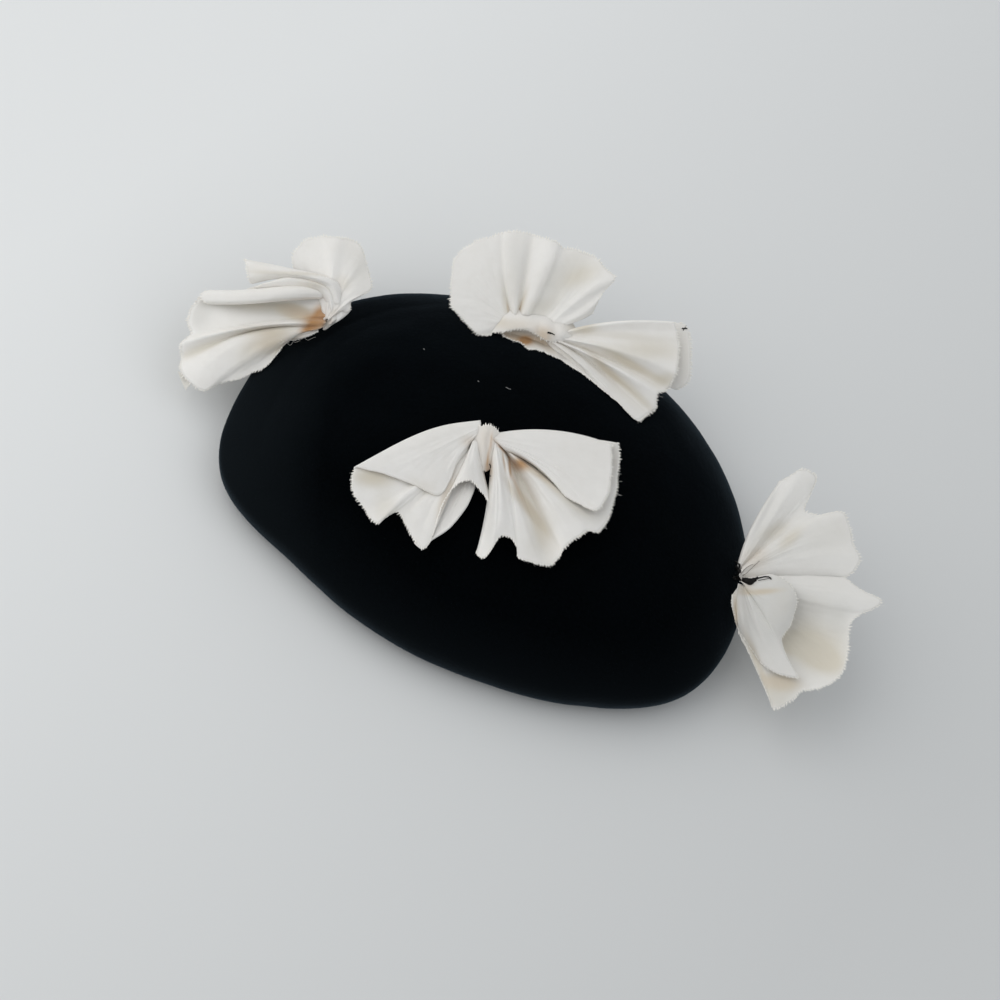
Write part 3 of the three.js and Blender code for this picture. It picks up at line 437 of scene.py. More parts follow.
            ("right_wing", 30, -17, 1.6, 12.1, 48, 0.12, 1, 0.1),
            ("right_wing", 44.6, -29.2, 1.8, 12.1, 45, 0, 0.7, 0.3),
            ("right_wing", 41.3, -13.8, 1.9, 14.6, 62, 0.06, 0.95, 0),
            ("right_wing", 58.3, -21.5, 6.1, 3.1, 0, 0, 0.8, 0.1),
            ("right_wing", 9.8, -8.1, 5.7, 2.4, -40, 0.05, 0.2, 0.2),
            ("back_layer", 68, -9.7, 7.3, 17.8, 0, 0, 0.25, 0.25),
            ("right_wing", 37.3, -0, 16.2, 1.9, -5, 0, 0.3, 0.1),
        ],
        "threads": [
            ("black", 0.42, 0.1, 0.7, 1.3, 1.5, 1.1, 2.3, 0.9),
            ("black", 0.22, 0.15, 2, 0.9, 3, 0.8, 4.1, 0.1),
            ("black", 0.3, 0.25, 66.6, 4, 67.9, 3.9, 69.3, 4),
            ("black", 0.16, 0.25, 67.2, 2.9, 68.2, 4.5, 68.8, 5.3),
        ],
    },
    "bow_right": {
        "at": (114.12, -3.78, 36.5), "normal": (0, -0.3, 0.95),
        "sheets": {
            "upper": ("smooth", [
                (-1.2, 5.2, 2, 5.9, 23.8, 3, 20.3, 45.7, 3),
                (-1.1, 5.2, 4.5, 6.4, 24.3, 6.82, 20.8, 46.6, 6.57),
                (-1.1, 4.8, 5, 9.8, 24.2, 7.92, 26, 49.3, 7.44),
                (-1.1, 4.4, 5, 13, 24, 8.03, 31.7, 52, 7.78),
                (-1, 4, 4.6, 15.7, 23, 6.42, 38.3, 48.5, 6.63),
                (-1, 3.6, 4, 17.5, 21.7, 5.15, 34.7, 38.8, 5.25),
                (-1, 3.3, 4, 18.8, 20.4, 5.5, 32.3, 32.1, 5.25),
                (-1, 3, 5, 20.3, 19.4, 7.11, 38.7, 29.9, 6.29),
                (-0.9, 2.7, 5.6, 23.3, 18.6, 8.6, 45.2, 31, 7.44),
                (-0.9, 2.4, 5.6, 25.6, 17.5, 8.84, 51.3, 30.7, 7.67),
                (-0.9, 2, 5.6, 27.4, 15.5, 8.49, 53.9, 24.2, 7.09),
                (-0.8, 1.7, 5.4, 28.4, 12.5, 8.03, 55.5, 16.3, 6.97),
                (-0.8, 1.4, 5, 28.6, 9, 7.68, 58.6, 9.2, 7.09),
                (-0.8, 1.1, 5, 28.1, 5.7, 6.88, 57.5, 4.7, 6.29),
                (-0.7, 0.5, 4.4, 27.6, 2.7, 6.13, 53.7, 1.4, 5.65),
                (-0.7, -0, 4, 27.6, -0, 4.6, 50.5, -0.5, 4.4),
            ]),
            "far": ("smooth", [
                (-0.5, 1.3, 3, 26, 4.4, 4.4, 46.6, 3.2, 4.4),
                (-0.2, -0, 3.8, 27.6, 1.3, 5, 51.3, -0.8, 4.8),
                (0.1, -1.1, 5, 29.6, -2.3, 7, 59.2, -6.7, 6.4),
                (0.4, -1.5, 6, 32.3, -6.3, 8.4, 68.1, -11, 7.4),
                (0.6, -1.9, 5.6, 33.5, -10.4, 8, 64.1, -15.3, 7),
                (0.8, -2.3, 5, 33.5, -13.8, 6, 57.8, -17.7, 6.6),
                (1, -2.7, 4, 32.7, -18.1, 3.6, 52.9, -21.7, 7.4),
                (1.1, -3.1, 3.4, 31.2, -22.1, 2, 51.5, -28, 8),
                (1.2, -3.3, 3, 29.3, -25.2, 1.2, 50.5, -35.9, 8.6),
                (1.2, -3.5, 3, 27, -28.2, 1, 48.2, -44, 9),
                (1.1, -3.6, 3.4, 24, -30.4, 1.4, 43.4, -49.5, 9),
                (1, -3.6, 3.4, 21.3, -32.1, 2.4, 35.5, -52.7, 8.4),
                (0.8, -3.6, 4, 17.5, -33.1, 4, 26.8, -54.2, 8),
                (0.6, -3.6, 4.6, 13.8, -33.4, 5.4, 22.9, -58, 8),
                (0.3, -3.5, 5, 9.4, -33.5, 6, 14.6, -62.4, 8),
                (-0.2, -3.3, 4, 5.9, -30.8, 5.4, 12.1, -57.2, 6.4),
                (-0.7, -3.1, 3, 1.4, -23.3, 4, 6.1, -42.6, 4),
                (-1, -2.9, 2, -2.6, -13.8, 2, -1.5, -26.4, 3),
            ]),
            "near_tube": ("smooth", [
                (-0.7, -2.1, 4, 9.4, -0, 5, 13.4, 0.9, 6),
                (-0.2, -1.9, 7, 11, 0.9, 9, 15.4, 1.3, 9),
                (0.2, -2.4, 9, 14.6, -2.3, 12, 21.8, -1.3, 10.5),
                (0.6, -2.9, 9, 15.9, -6.7, 14, 26.5, -7.9, 12),
                (0.9, -3.3, 9, 15.1, -11, 15, 25.9, -15.3, 12),
                (1.2, -3.6, 9, 13.2, -15.3, 15, 22.9, -23.3, 11),
                (1.3, -4, 9, 11.2, -17.7, 14, 18.7, -28.8, 10),
                (1.4, -4, 8, 11.2, -20.1, 13, 20.1, -35.9, 10),
                (1.3, -4.1, 8, 10.8, -22.1, 13, 23.4, -42.6, 9.5),
                (1.2, -4.1, 8, 9.6, -23.3, 13, 25.9, -47.2, 9),
                (0.9, -4.1, 7, 7.8, -24, 13, 19.7, -46.5, 9),
                (0.6, -4, 7, 5.9, -24, 12, 14.4, -44.7, 9),
                (0.2, -3.8, 6, 3.5, -22.5, 10, 8.8, -40.8, 8),
                (-0.2, -3.5, 5, -0.1, -18.5, 7, 3.9, -33.5, 6),
                (-0.7, -3.2, 4, -2.6, -15.3, 4, -0.1, -27.2, 4),
            ]),
            "lip": ("fray", [
                (-0.9, -4.4, 2, -3.5, -7.4, 3, -4.7, -9.2, 4),
                (-0.7, -5.2, 3, -3.9, -11.4, 5, -5.2, -13.1, 5),
                (-0.2, -6.7, 3, -2.8, -17.3, 4.5, -3.9, -19.1, 5),
                (0.4, -8.6, 1, -1.5, -21.3, 2, -2, -24.8, 2),
            ]),
        },
        "tints": [
            ("*", 27.6, -7.4, 55.3, 71.2, 0, 0, 0.08, 0.38),
            ("upper", 11.8, 30.5, 1.3, 15, -28, 0, 0.1, 0.7),
            ("upper", 16, 21.7, 7.9, 3.3, 28, 0.04, 0.5, 0.5),
            ("upper", 23.7, 17.9, 7.1, 2.7, 40, 0.05, 0.6, 0.1),
            ("upper", 38.7, 40, 4.3, 6.3, 20, 0, 0, 0.45),
            ("upper", 7.4, 9.2, 6.3, 5.5, 30, 0.16, 0.3, 0),
            ("upper", 43.4, 20.2, 14.2, 7.9, 0, 0, 0.15, 0.2),
            ("near_tube", 21.3, -9.8, 5.9, 10.3, 0, 0, 0.15, 0.95),
            ("near_tube", 8.6, -15.3, 11.9, 17.4, 0, 0, 0.08, 0.7),
            ("near_tube", 8.8, -6.7, 8.3, 1.3, 5, 0.16, 1, 0),
            ("near_tube", 1.5, -5.1, 3.2, 2.4, 0, 0.1, 0.5, 0),
            ("*", -3.1, -16.9, 1.1, 8.7, 0, 0.2, 1, 0.2),
            ("far", 33.5, -32.7, 15, 9.5, -20, 0.01, 1, 0.15),
            ("far", 38.7, -39.1, 9.5, 5.5, -25, 0.03, 0.75, 0.05),
            ("far", 22.1, -31.2, 6.3, 4.7, 0, 0, 0.9, 0.1),
            ("far", 47, -22.1, 5.5, 8.7, 0, 0, 0.15, 0.5),
            ("far", 32.3, -15.3, 9.5, 7.9, 0, 0, 0.2, 0.35),
            ("far", 17.5, -48.9, 9.2, 3.8, -8, 0.24, 1, 1),
            ("*", 5.9, -37.5, 1.7, 11.9, 22, 0.08, 0.8, 0.1),
            ("far", 14.2, -55.7, 9.5, 6.3, 0, 0, 0.5, 0.8),
            ("near_tube", 15.7, -20.1, 4.7, 11.9, -15, 0, 0.05, 0.2),
        ],
        "threads": [
            ("black", 0.55, 0.3, -2.6, -0.5, 0.7, -0.6, 3.9, -1.1, 6.7, -0.5, 7.8, -0),
            ("black", 1.75, 0.3, 0.6, -1, 2.6, -1.8, 4.5, -1.9, 6.7, -0.6),
            ("black", 1, 0.3, -3.1, -0.5, -1.6, -0.6, 0.1, -1),
            ("black", 0.8, 0.2, -1.6, 5.2, -0.7, 3.3, -1, 0.5),
            ("black", 0.55, 0.3, -1.3, 7.1, -0.5, 5.5, -1.2, 3.5),
            ("black", 0.1, 0.8, -2.1, 1.3, -0.7, 3.3, 0.6, 4.6),
            ("black", 0.3, 0.6, 6.7, -0.8, 9.4, 0.1, 11.8, 0.5, 13.5, -0, 13.8, -0.8),
            ("black", 0.14, 0.6, 7.8, -1.3, 11, -0.8, 13.1, -0.2),
            ("brown", 0.1, 0.4, -0.1, 1.3, 1.5, 3.5, 3.6, 5.2, 5.8, 6.2),
            ("brown", 0.09, 0.4, 0.7, 0.6, 3.1, 2.4, 5.9, 5, 8.8, 7.7),
        ],
    },
}


# ---------- helpers ----------
def catmull(values, p, closed=False):
    """Catmull-Rom value of a table of vectors at fractional rows p."""
    v = np.asarray(values, float)
    n = len(v)
    i = np.floor(p).astype(int)
    t = (p - i)[:, None] if v.ndim > 1 else p - i
    pick = (lambda k: v[k % n]) if closed else (lambda k: v[np.clip(k, 0, n - 1)])
    a, b, c, d = pick(i - 1), pick(i), pick(i + 1), pick(i + 2)
    return 0.5 * (2 * b + (c - a) * t + (2 * a - 5 * b + 4 * c - d) * t**2 + (3 * b - a - 3 * c + d) * t**3)


PLAN_R = np.array([r for _, r in PLAN], float)


def plan_radius(deg):
    return catmull(PLAN_R, np.atleast_1d(np.mod(deg, 360.0)) / (360.0 / len(PLAN)), closed=True)


def section(steps):
    """The section as fine rows of share and height."""
    p = np.concatenate([np.arange(0, len(PROFILE) - 1, 1.0 / steps), [len(PROFILE) - 1]])
    rows = catmull(np.array(PROFILE), p)
    rows[0, 0] = 0.0
    flat = p >= len(PROFILE) - 3
    rows[flat, 1] = 0.0
    return np.c_[rows[:, 0], np.maximum(rows[:, 1], 0.0)]


def lowered(x, y, share, height):
    lobe = np.clip(-np.cos(np.arctan2(y, x)), 0, 1) ** 2
    upper = np.clip((height - GIRTH_HEIGHT) / 20, 0, 1)
    z = height - END_DROP * lobe * np.clip((share - END_DROP_START) / 0.5, 0, 1) * upper
    for dx, dy, r, depth in DENTS:
        z = z - depth * upper * np.exp(-((x - dx) ** 2 + (y - dy) ** 2) / (r * r))
    return z


UPPER = section(8)
UPPER = UPPER[: int(np.argmax(UPPER[:, 0])) + 1]


def felt_top(x, y):
    """Height of the felt's upper side, in mm, and the share of the plan radius."""
    share = np.hypot(x, y) / plan_radius(np.degrees(np.arctan2(y, x)))
    h = np.interp(share, UPPER[:, 0], UPPER[:, 1])
    return np.where(share <= 1.0, lowered(x, y, share, h), -1.0), share


def noise_at(points, scale, seed=0.0):
    off = Vector((seed * 7.3, seed * 3.1, seed * 5.7))
    return np.array([noise.noise(Vector(p) * scale + off) for p in points])


def make_object(name, verts_mm, faces, material, smooth=True):
    mesh = bpy.data.meshes.new(name)
    mesh.from_pydata([tuple(v * MM) for v in verts_mm], [], [tuple(int(i) for i in f) for f in faces])
    mesh.validate()
    mesh.polygons.foreach_set("use_smooth", [smooth] * len(mesh.polygons))
    mesh.materials.append(material)
    obj = bpy.data.objects.new(name, mesh)
    bpy.context.scene.collection.objects.link(obj)
    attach(obj, "root")
    return obj


def point_attribute(obj, name, values):
    att = obj.data.attributes.new(name, "FLOAT", "POINT")
    att.data.foreach_set("value", np.asarray(values, np.float32))


def tube(path, radius, sides=5, taper=True):
    """Vertices and faces of a closed thin tube along a path in mm."""
    path = np.asarray(path, float)
    n = len(path)
    verts, faces = [], []
    for i, p in enumerate(path):
        d = path[min(i + 1, n - 1)] - path[max(i - 1, 0)]
        d = d / (np.linalg.norm(d) + 1e-9)
        side = np.cross(d, [0.31, 0.52, 0.79])
        side /= np.linalg.norm(side) + 1e-9
        up = np.cross(d, side)
        r = radius[i] if hasattr(radius, "__len__") else radius * (1.0 if not taper else 1.0 - 0.55 * i / max(n - 1, 1))
        for k in range(sides):
            a = 2 * math.pi * k / sides
            verts.append(p + r * (math.cos(a) * side + math.sin(a) * up))
    for i in range(n - 1):
        for k in range(sides):
            a, b = i * sides + k, i * sides + (k + 1) % sides
            faces.append((a, b, b + sides, a + sides))
    faces.append(tuple(range(sides - 1, -1, -1)))
    faces.append(tuple(range((n - 1) * sides, n * sides)))
    return verts, faces


def gather_parts(parts):
    verts, faces = [], []
    for v, f in parts:
        base = len(verts)
        verts.extend(v)
        faces.extend([tuple(base + i for i in q) for q in f])
    return np.array(verts), faces


# ---------- materials ----------
def new_material(name):
    m = bpy.data.materials.new(name)
    m.use_nodes = True
    t = m.node_tree
    t.nodes.clear()
    out = t.nodes.new("ShaderNodeOutputMaterial")
    bsdf = t.nodes.new("ShaderNodeBsdfPrincipled")
    t.links.new(bsdf.outputs["BSDF"], out.inputs["Surface"])
    return m, t, bsdf


def node(tree, kind, **values):
    n = tree.nodes.new(kind)
    for key, value in values.items():
        if key in n.inputs:
            n.inputs[key].default_value = value
        else:
            setattr(n, key, value)
    return n


def mix_rgb(tree, fac, a, b, blend="MIX"):
    n = tree.nodes.new("ShaderNodeMix")
    n.data_type = "RGBA"
    n.blend_type = blend
    for socket, value in ((n.inputs[0], fac), (n.inputs[6], a), (n.inputs[7], b)):
        if isinstance(value, (int, float)):
            socket.default_value = value
        elif isinstance(value, (tuple, list)):
            socket.default_value = (*value, 1.0)
        else:
            tree.links.new(value, socket)
    return n.outputs[2]


def ramp(tree, fac, stops):
    n = tree.nodes.new("ShaderNodeValToRGB")
    n.color_ramp.elements[0].position = stops[0][0]
    n.color_ramp.elements[0].color = (*[stops[0][1]] * 3, 1)
    n.color_ramp.elements[1].position = stops[-1][0]
    n.color_ramp.elements[1].color = (*[stops[-1][1]] * 3, 1)
    for pos, val in stops[1:-1]:
        e = n.color_ramp.elements.new(pos)
        e.color = (val, val, val, 1)
    tree.links.new(fac, n.inputs["Fac"])
    return n.outputs["Color"]


def math_node(tree, op, a, b=None):
    n = tree.nodes.new("ShaderNodeMath")
    n.operation = op
    for socket, value in ((n.inputs[0], a), (n.inputs[1], b)):
        if value is None:
            continue
        if isinstance(value, (int, float)):
            socket.default_value = value
        else:
            tree.links.new(value, socket)
    return n.outputs[0]


def felt_material():
    m, t, b = new_material("black_felt_nap")
    coord = t.nodes.new("ShaderNodeTexCoord").outputs["Object"]
    fine = node(t, "ShaderNodeTexNoise", Scale=2600.0, Detail=3.0, Roughness=0.6)
    tuft = node(t, "ShaderNodeTexNoise", Scale=620.0, Detail=4.0, Roughness=0.6)
    broad = node(t, "ShaderNodeTexNoise", Scale=26.0, Detail=4.0, Roughness=0.55)
    for n in (fine, tuft, broad):
        t.links.new(coord, n.inputs["Vector"])
    patch = ramp(t, broad.outputs["Fac"], [(0.35, 0.0), (0.68, 1.0)])
    speck = ramp(t, tuft.outputs["Fac"], [(0.35, 0.0), (0.7, 1.0)])
    colour = mix_rgb(t, patch, (0.0001, 0.0004, 0.0006), (0.0003, 0.0008, 0.0012))
    colour = mix_rgb(t, speck, colour, (0.0006, 0.0012, 0.0018))
    # painted light: the felt's colour is paler towards the end that the light falls on
    light_side = node(t, "ShaderNodeVectorMath", operation="DOT_PRODUCT")
    t.links.new(coord, light_side.inputs[0])
    light_side.inputs[1].default_value = tuple(-ACROSS / 0.055)
    paler = ramp(t, math_node(t, "SUBTRACT", math_node(t, "ADD", light_side.outputs["Value"], math_node(t, "MULTIPLY", broad.outputs["Fac"], 0.30)), 1.72), [(0.0, 0.0), (1.0, 1.0)])
    colour = mix_rgb(t, paler, colour, (0.0066, 0.0088, 0.0106))
    # painted sheen: the felt is paler low on the side wall than on the crown
    split = t.nodes.new("ShaderNodeSeparateXYZ")
    t.links.new(coord, split.inputs["Vector"])
    low = ramp(t, math_node(t, "DIVIDE", math_node(t, "SUBTRACT", 0.041, split.outputs["Z"]), 0.027), [(0.0, 0.0), (1.0, 0.72)])
    colour = mix_rgb(t, low, colour, (0.0042, 0.0056, 0.0068))
    t.links.new(colour, b.inputs["Base Color"])
    b.inputs["Roughness"].default_value = 1.0
    b.inputs["Specular IOR Level"].default_value = 0.02
    b.inputs["Sheen Weight"].default_value = 0.12
    b.inputs["Sheen Roughness"].default_value = 0.34
    b.inputs["Sheen Tint"].default_value = (0.58, 0.80, 1.0, 1.0)
    height = math_node(t, "ADD", math_node(t, "MULTIPLY", fine.outputs["Fac"], 0.35), math_node(t, "MULTIPLY", tuft.outputs["Fac"], 0.65))
    bump = node(t, "ShaderNodeBump", Strength=0.55, Distance=0.0005)
    t.links.new(height, bump.inputs["Height"])
    t.links.new(bump.outputs["Normal"], b.inputs["Normal"])
    return m


def silk_material():
    m, t, b = new_material("cream_silk_weave")
    uv = node(t, "ShaderNodeUVMap", uv_map="cloth").outputs["UV"]
    coord = t.nodes.new("ShaderNodeTexCoord").outputs["Object"]
    gather = node(t, "ShaderNodeAttribute", attribute_name="gather").outputs["Fac"]
    hollow = node(t, "ShaderNodeAttribute", attribute_name="hollow").outputs["Fac"]
    painted_cool_shade = node(t, "ShaderNodeAttribute", attribute_name="painted_cool_shade").outputs["Fac"]
    edge = node(t, "ShaderNodeAttribute", attribute_name="edge").outputs["Fac"]
    cloud = node(t, "ShaderNodeTexNoise", Scale=38.0, Detail=4.0, Roughness=0.55)
    mottled = node(t, "ShaderNodeTexNoise", Scale=210.0, Detail=3.0, Roughness=0.6)
    for n in (cloud, mottled):
        t.links.new(coord, n.inputs["Vector"])
    # warp and weft, with slubs
    split = t.nodes.new("ShaderNodeSeparateXYZ")
    t.links.new(uv, split.inputs["Vector"])
    warp = math_node(t, "SINE", math_node(t, "MULTIPLY", split.outputs["X"], 2 * math.pi / 0.42))
    weft = math_node(t, "SINE", math_node(t, "MULTIPLY", split.outputs["Y"], 2 * math.pi / 0.36))
    slub = node(t, "ShaderNodeTexNoise", Scale=1.0, Detail=2.0)
    stretch = node(t, "ShaderNodeMapping")
    stretch.inputs["Scale"].default_value = (0.12, 2.6, 1.0)
    t.links.new(uv, stretch.inputs["Vector"])
    t.links.new(stretch.outputs["Vector"], slub.inputs["Vector"])
    weave = math_node(t, "ADD", math_node(t, "MULTIPLY", warp, weft), math_node(t, "MULTIPLY", slub.outputs["Fac"], 1.6))
    # colour
    base = mix_rgb(t, ramp(t, cloud.outputs["Fac"], [(0.3, 0.0), (0.7, 1.0)]), (0.818, 0.797, 0.760), (0.790, 0.764, 0.720))
    base = mix_rgb(t, math_node(t, "MULTIPLY", ramp(t, mottled.outputs["Fac"], [(0.45, 0.0), (0.75, 1.0)]), 0.22), base, (0.725, 0.695, 0.645))
    # painted shade: grey where the cloth lies in shade, warm beige in its hollows and folds
    base = mix_rgb(t, math_node(t, "MULTIPLY", painted_cool_shade, 0.85), base, (0.590, 0.588, 0.572))
    base = mix_rgb(t, math_node(t, "MULTIPLY", hollow, 0.90), base, (0.610, 0.560, 0.460))
    stain = math_node(t, "MULTIPLY", gather, ramp(t, cloud.outputs["Fac"], [(0.30, 0.78), (0.60, 1.0)]))
    base = mix_rgb(t, math_node(t, "MULTIPLY", stain, 0.98), base, (0.385, 0.188, 0.060))
    base = mix_rgb(t, math_node(t, "MULTIPLY", edge, 0.35), base, (0.83, 0.82, 0.80))
    t.links.new(base, b.inputs["Base Color"])
    rough = math_node(t, "ADD", math_node(t, "MULTIPLY", cloud.outputs["Fac"], 0.16), 0.56)
    t.links.new(rough, b.inputs["Roughness"])
    b.inputs["Specular IOR Level"].default_value = 0.28
    b.inputs["Sheen Weight"].default_value = 0.22
    b.inputs["Sheen Roughness"].default_value = 0.45
    b.inputs["Sheen Tint"].default_value = (1.0, 0.97, 0.92, 1.0)
    b.inputs["Subsurface Weight"].default_value = 0.35
    b.inputs["Subsurface Radius"].default_value = (1.0, 0.97, 0.92)
    b.inputs["Subsurface Scale"].default_value = 0.0022
    bump = node(t, "ShaderNodeBump", Strength=0.16, Distance=0.0001)
    t.links.new(weave, bump.inputs["Height"])
    wrinkle = node(t, "ShaderNodeBump", Strength=0.35, Distance=0.0006)
    t.links.new(mottled.outputs["Fac"], wrinkle.inputs["Height"])
    t.links.new(bump.outputs["Normal"], wrinkle.inputs["Normal"])
    t.links.new(wrinkle.outputs["Normal"], b.inputs["Normal"])
    return m


def thread_material(name, light, dark, rough):
    m, t, b = new_material(name)
    coord = t.nodes.new("ShaderNodeTexCoord").outputs["Object"]
    n = node(t, "ShaderNodeTexNoise", Scale=900.0, Detail=2.0)
    t.links.new(coord, n.inputs["Vector"])
    t.links.new(mix_rgb(t, n.outputs["Fac"], light, dark), b.inputs["Base Color"])
    b.inputs["Roughness"].default_value = rough
    b.inputs["Specular IOR Level"].default_value = 0.15
    bump = node(t, "ShaderNodeBump", Strength=0.3, Distance=0.00005)
    t.links.new(n.outputs["Fac"], bump.inputs["Height"])
    t.links.new(bump.outputs["Normal"], b.inputs["Normal"])
    return m


FELT = felt_material()
SILK = silk_material()
FRAY = thread_material("frayed_silk", (0.86, 0.84, 0.80), (0.80, 0.77, 0.71), 0.7)
BLACK_THREAD = thread_material("black_thread", (0.010, 0.009, 0.009), (0.003, 0.003, 0.003), 0.6)
BROWN_HAIR = thread_material("brown_hair", (0.10, 0.06, 0.04), (0.05, 0.03, 0.02), 0.5)
LINT = thread_material("lint", (0.30, 0.30, 0.29), (0.16, 0.16, 0.16), 0.9)


# ---------- the felt ----------
def felt_surface(segments, steps):
    rows = section(steps)
    deg = np.arange(segments) * 360.0 / segments
    radius = plan_radius(deg)
    share, height = rows[1:, 0][:, None], rows[1:, 1][:, None]
    x = share * radius * np.cos(np.radians(deg))
    y = share * radius * np.sin(np.radians(deg))
    z = np.where(height > GIRTH_HEIGHT, lowered(x, y, share, height + 0 * x), height + 0 * x)
    grid = np.stack([x, y, z], -1)
    apex = np.array([0.0, 0.0, lowered(0.0, 0.0, 0.0, rows[0, 1])])
    return apex, grid


def make_felt():
    segments, steps = ((288, 9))
    apex, grid = felt_surface(segments, steps)
    rows = len(grid)
    along = np.gradient(grid, axis=0)
    around = np.roll(grid, -1, axis=1) - np.roll(grid, 1, axis=1)
    normal = np.cross(around, along)
    normal /= np.linalg.norm(normal, axis=-1, keepdims=True) + 1e-9
    outward = grid - np.array([0, 0, 20.0])
    flip = np.sign((normal * outward).sum(-1, keepdims=True))
    flip[flip == 0] = 1
    normal *= flip
    flat = grid[..., 2] <= 0.0
    normal[flat] = (0, 0, -1)
    # hand-blocked unevenness, none where the edge rests
    p = grid.reshape(-1, 3)
    wave = 0.55 * noise_at(p, 1 / 38.0, 1) + 0.22 * noise_at(p, 1 / 13.0, 2) + 0.06 * noise_at(p, 1 / 3.5, 3)
    wave = wave.reshape(grid.shape[:2]) * np.clip((grid[..., 2] - 1.0) / 8.0, 0, 1)
    outer = grid + normal * wave[..., None]
    inner = grid - normal * FELT_WALL
    inner[flat] = grid[flat] + np.array([0, 0, FELT_WALL])
    keep = list(range(0, rows, 3))
    if keep[-1] != rows - 1:
        keep.append(rows - 1)
    inner = inner[keep][::-1]
    top = apex + np.array([0, 0, 0.0])
    verts = [top, apex - np.array([0, 0, FELT_WALL])]
    rings = []
    for ring in list(outer) + list(inner):
        rings.append(len(verts))
        verts.extend(ring)
    faces = []
    n = segments
    for k in range(len(rings) - 1):
        a, b = rings[k], rings[k + 1]
        for j in range(n):
            i = (j + 1) % n
            faces.append((a + j, b + j, b + i, a + i))
    for j in range(n):
        i = (j + 1) % n
        faces.append((0, rings[0] + j, rings[0] + i))
        faces.append((1, rings[-1] + i, rings[-1] + j))
    obj = make_object("felt_body", np.array(verts) + SHIFT, faces, FELT)
    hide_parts("felt_shell")
    return obj


felt_body = make_felt()


# ---------- the bows' cloth ----------
CLOTH_HALF = 0.16   # half the thickness of the silk, mm
FELT_GAP = 0.75     # cloth's middle over the felt, mm
ROLL_MM = 1.3       # radius of a rounded fold
FRINGE_MM = 0.9     # how far the fringe stands out of a raw edge


def bow_axes(normal):
    n = np.array(normal, float)
    n /= np.linalg.norm(n)
    a = ACROSS - TO_CAMERA * (ACROSS @ n) / (TO_CAMERA @ n)
    b = UPWARD - TO_CAMERA * (UPWARD @ n) / (TO_CAMERA @ n)
    return a, b


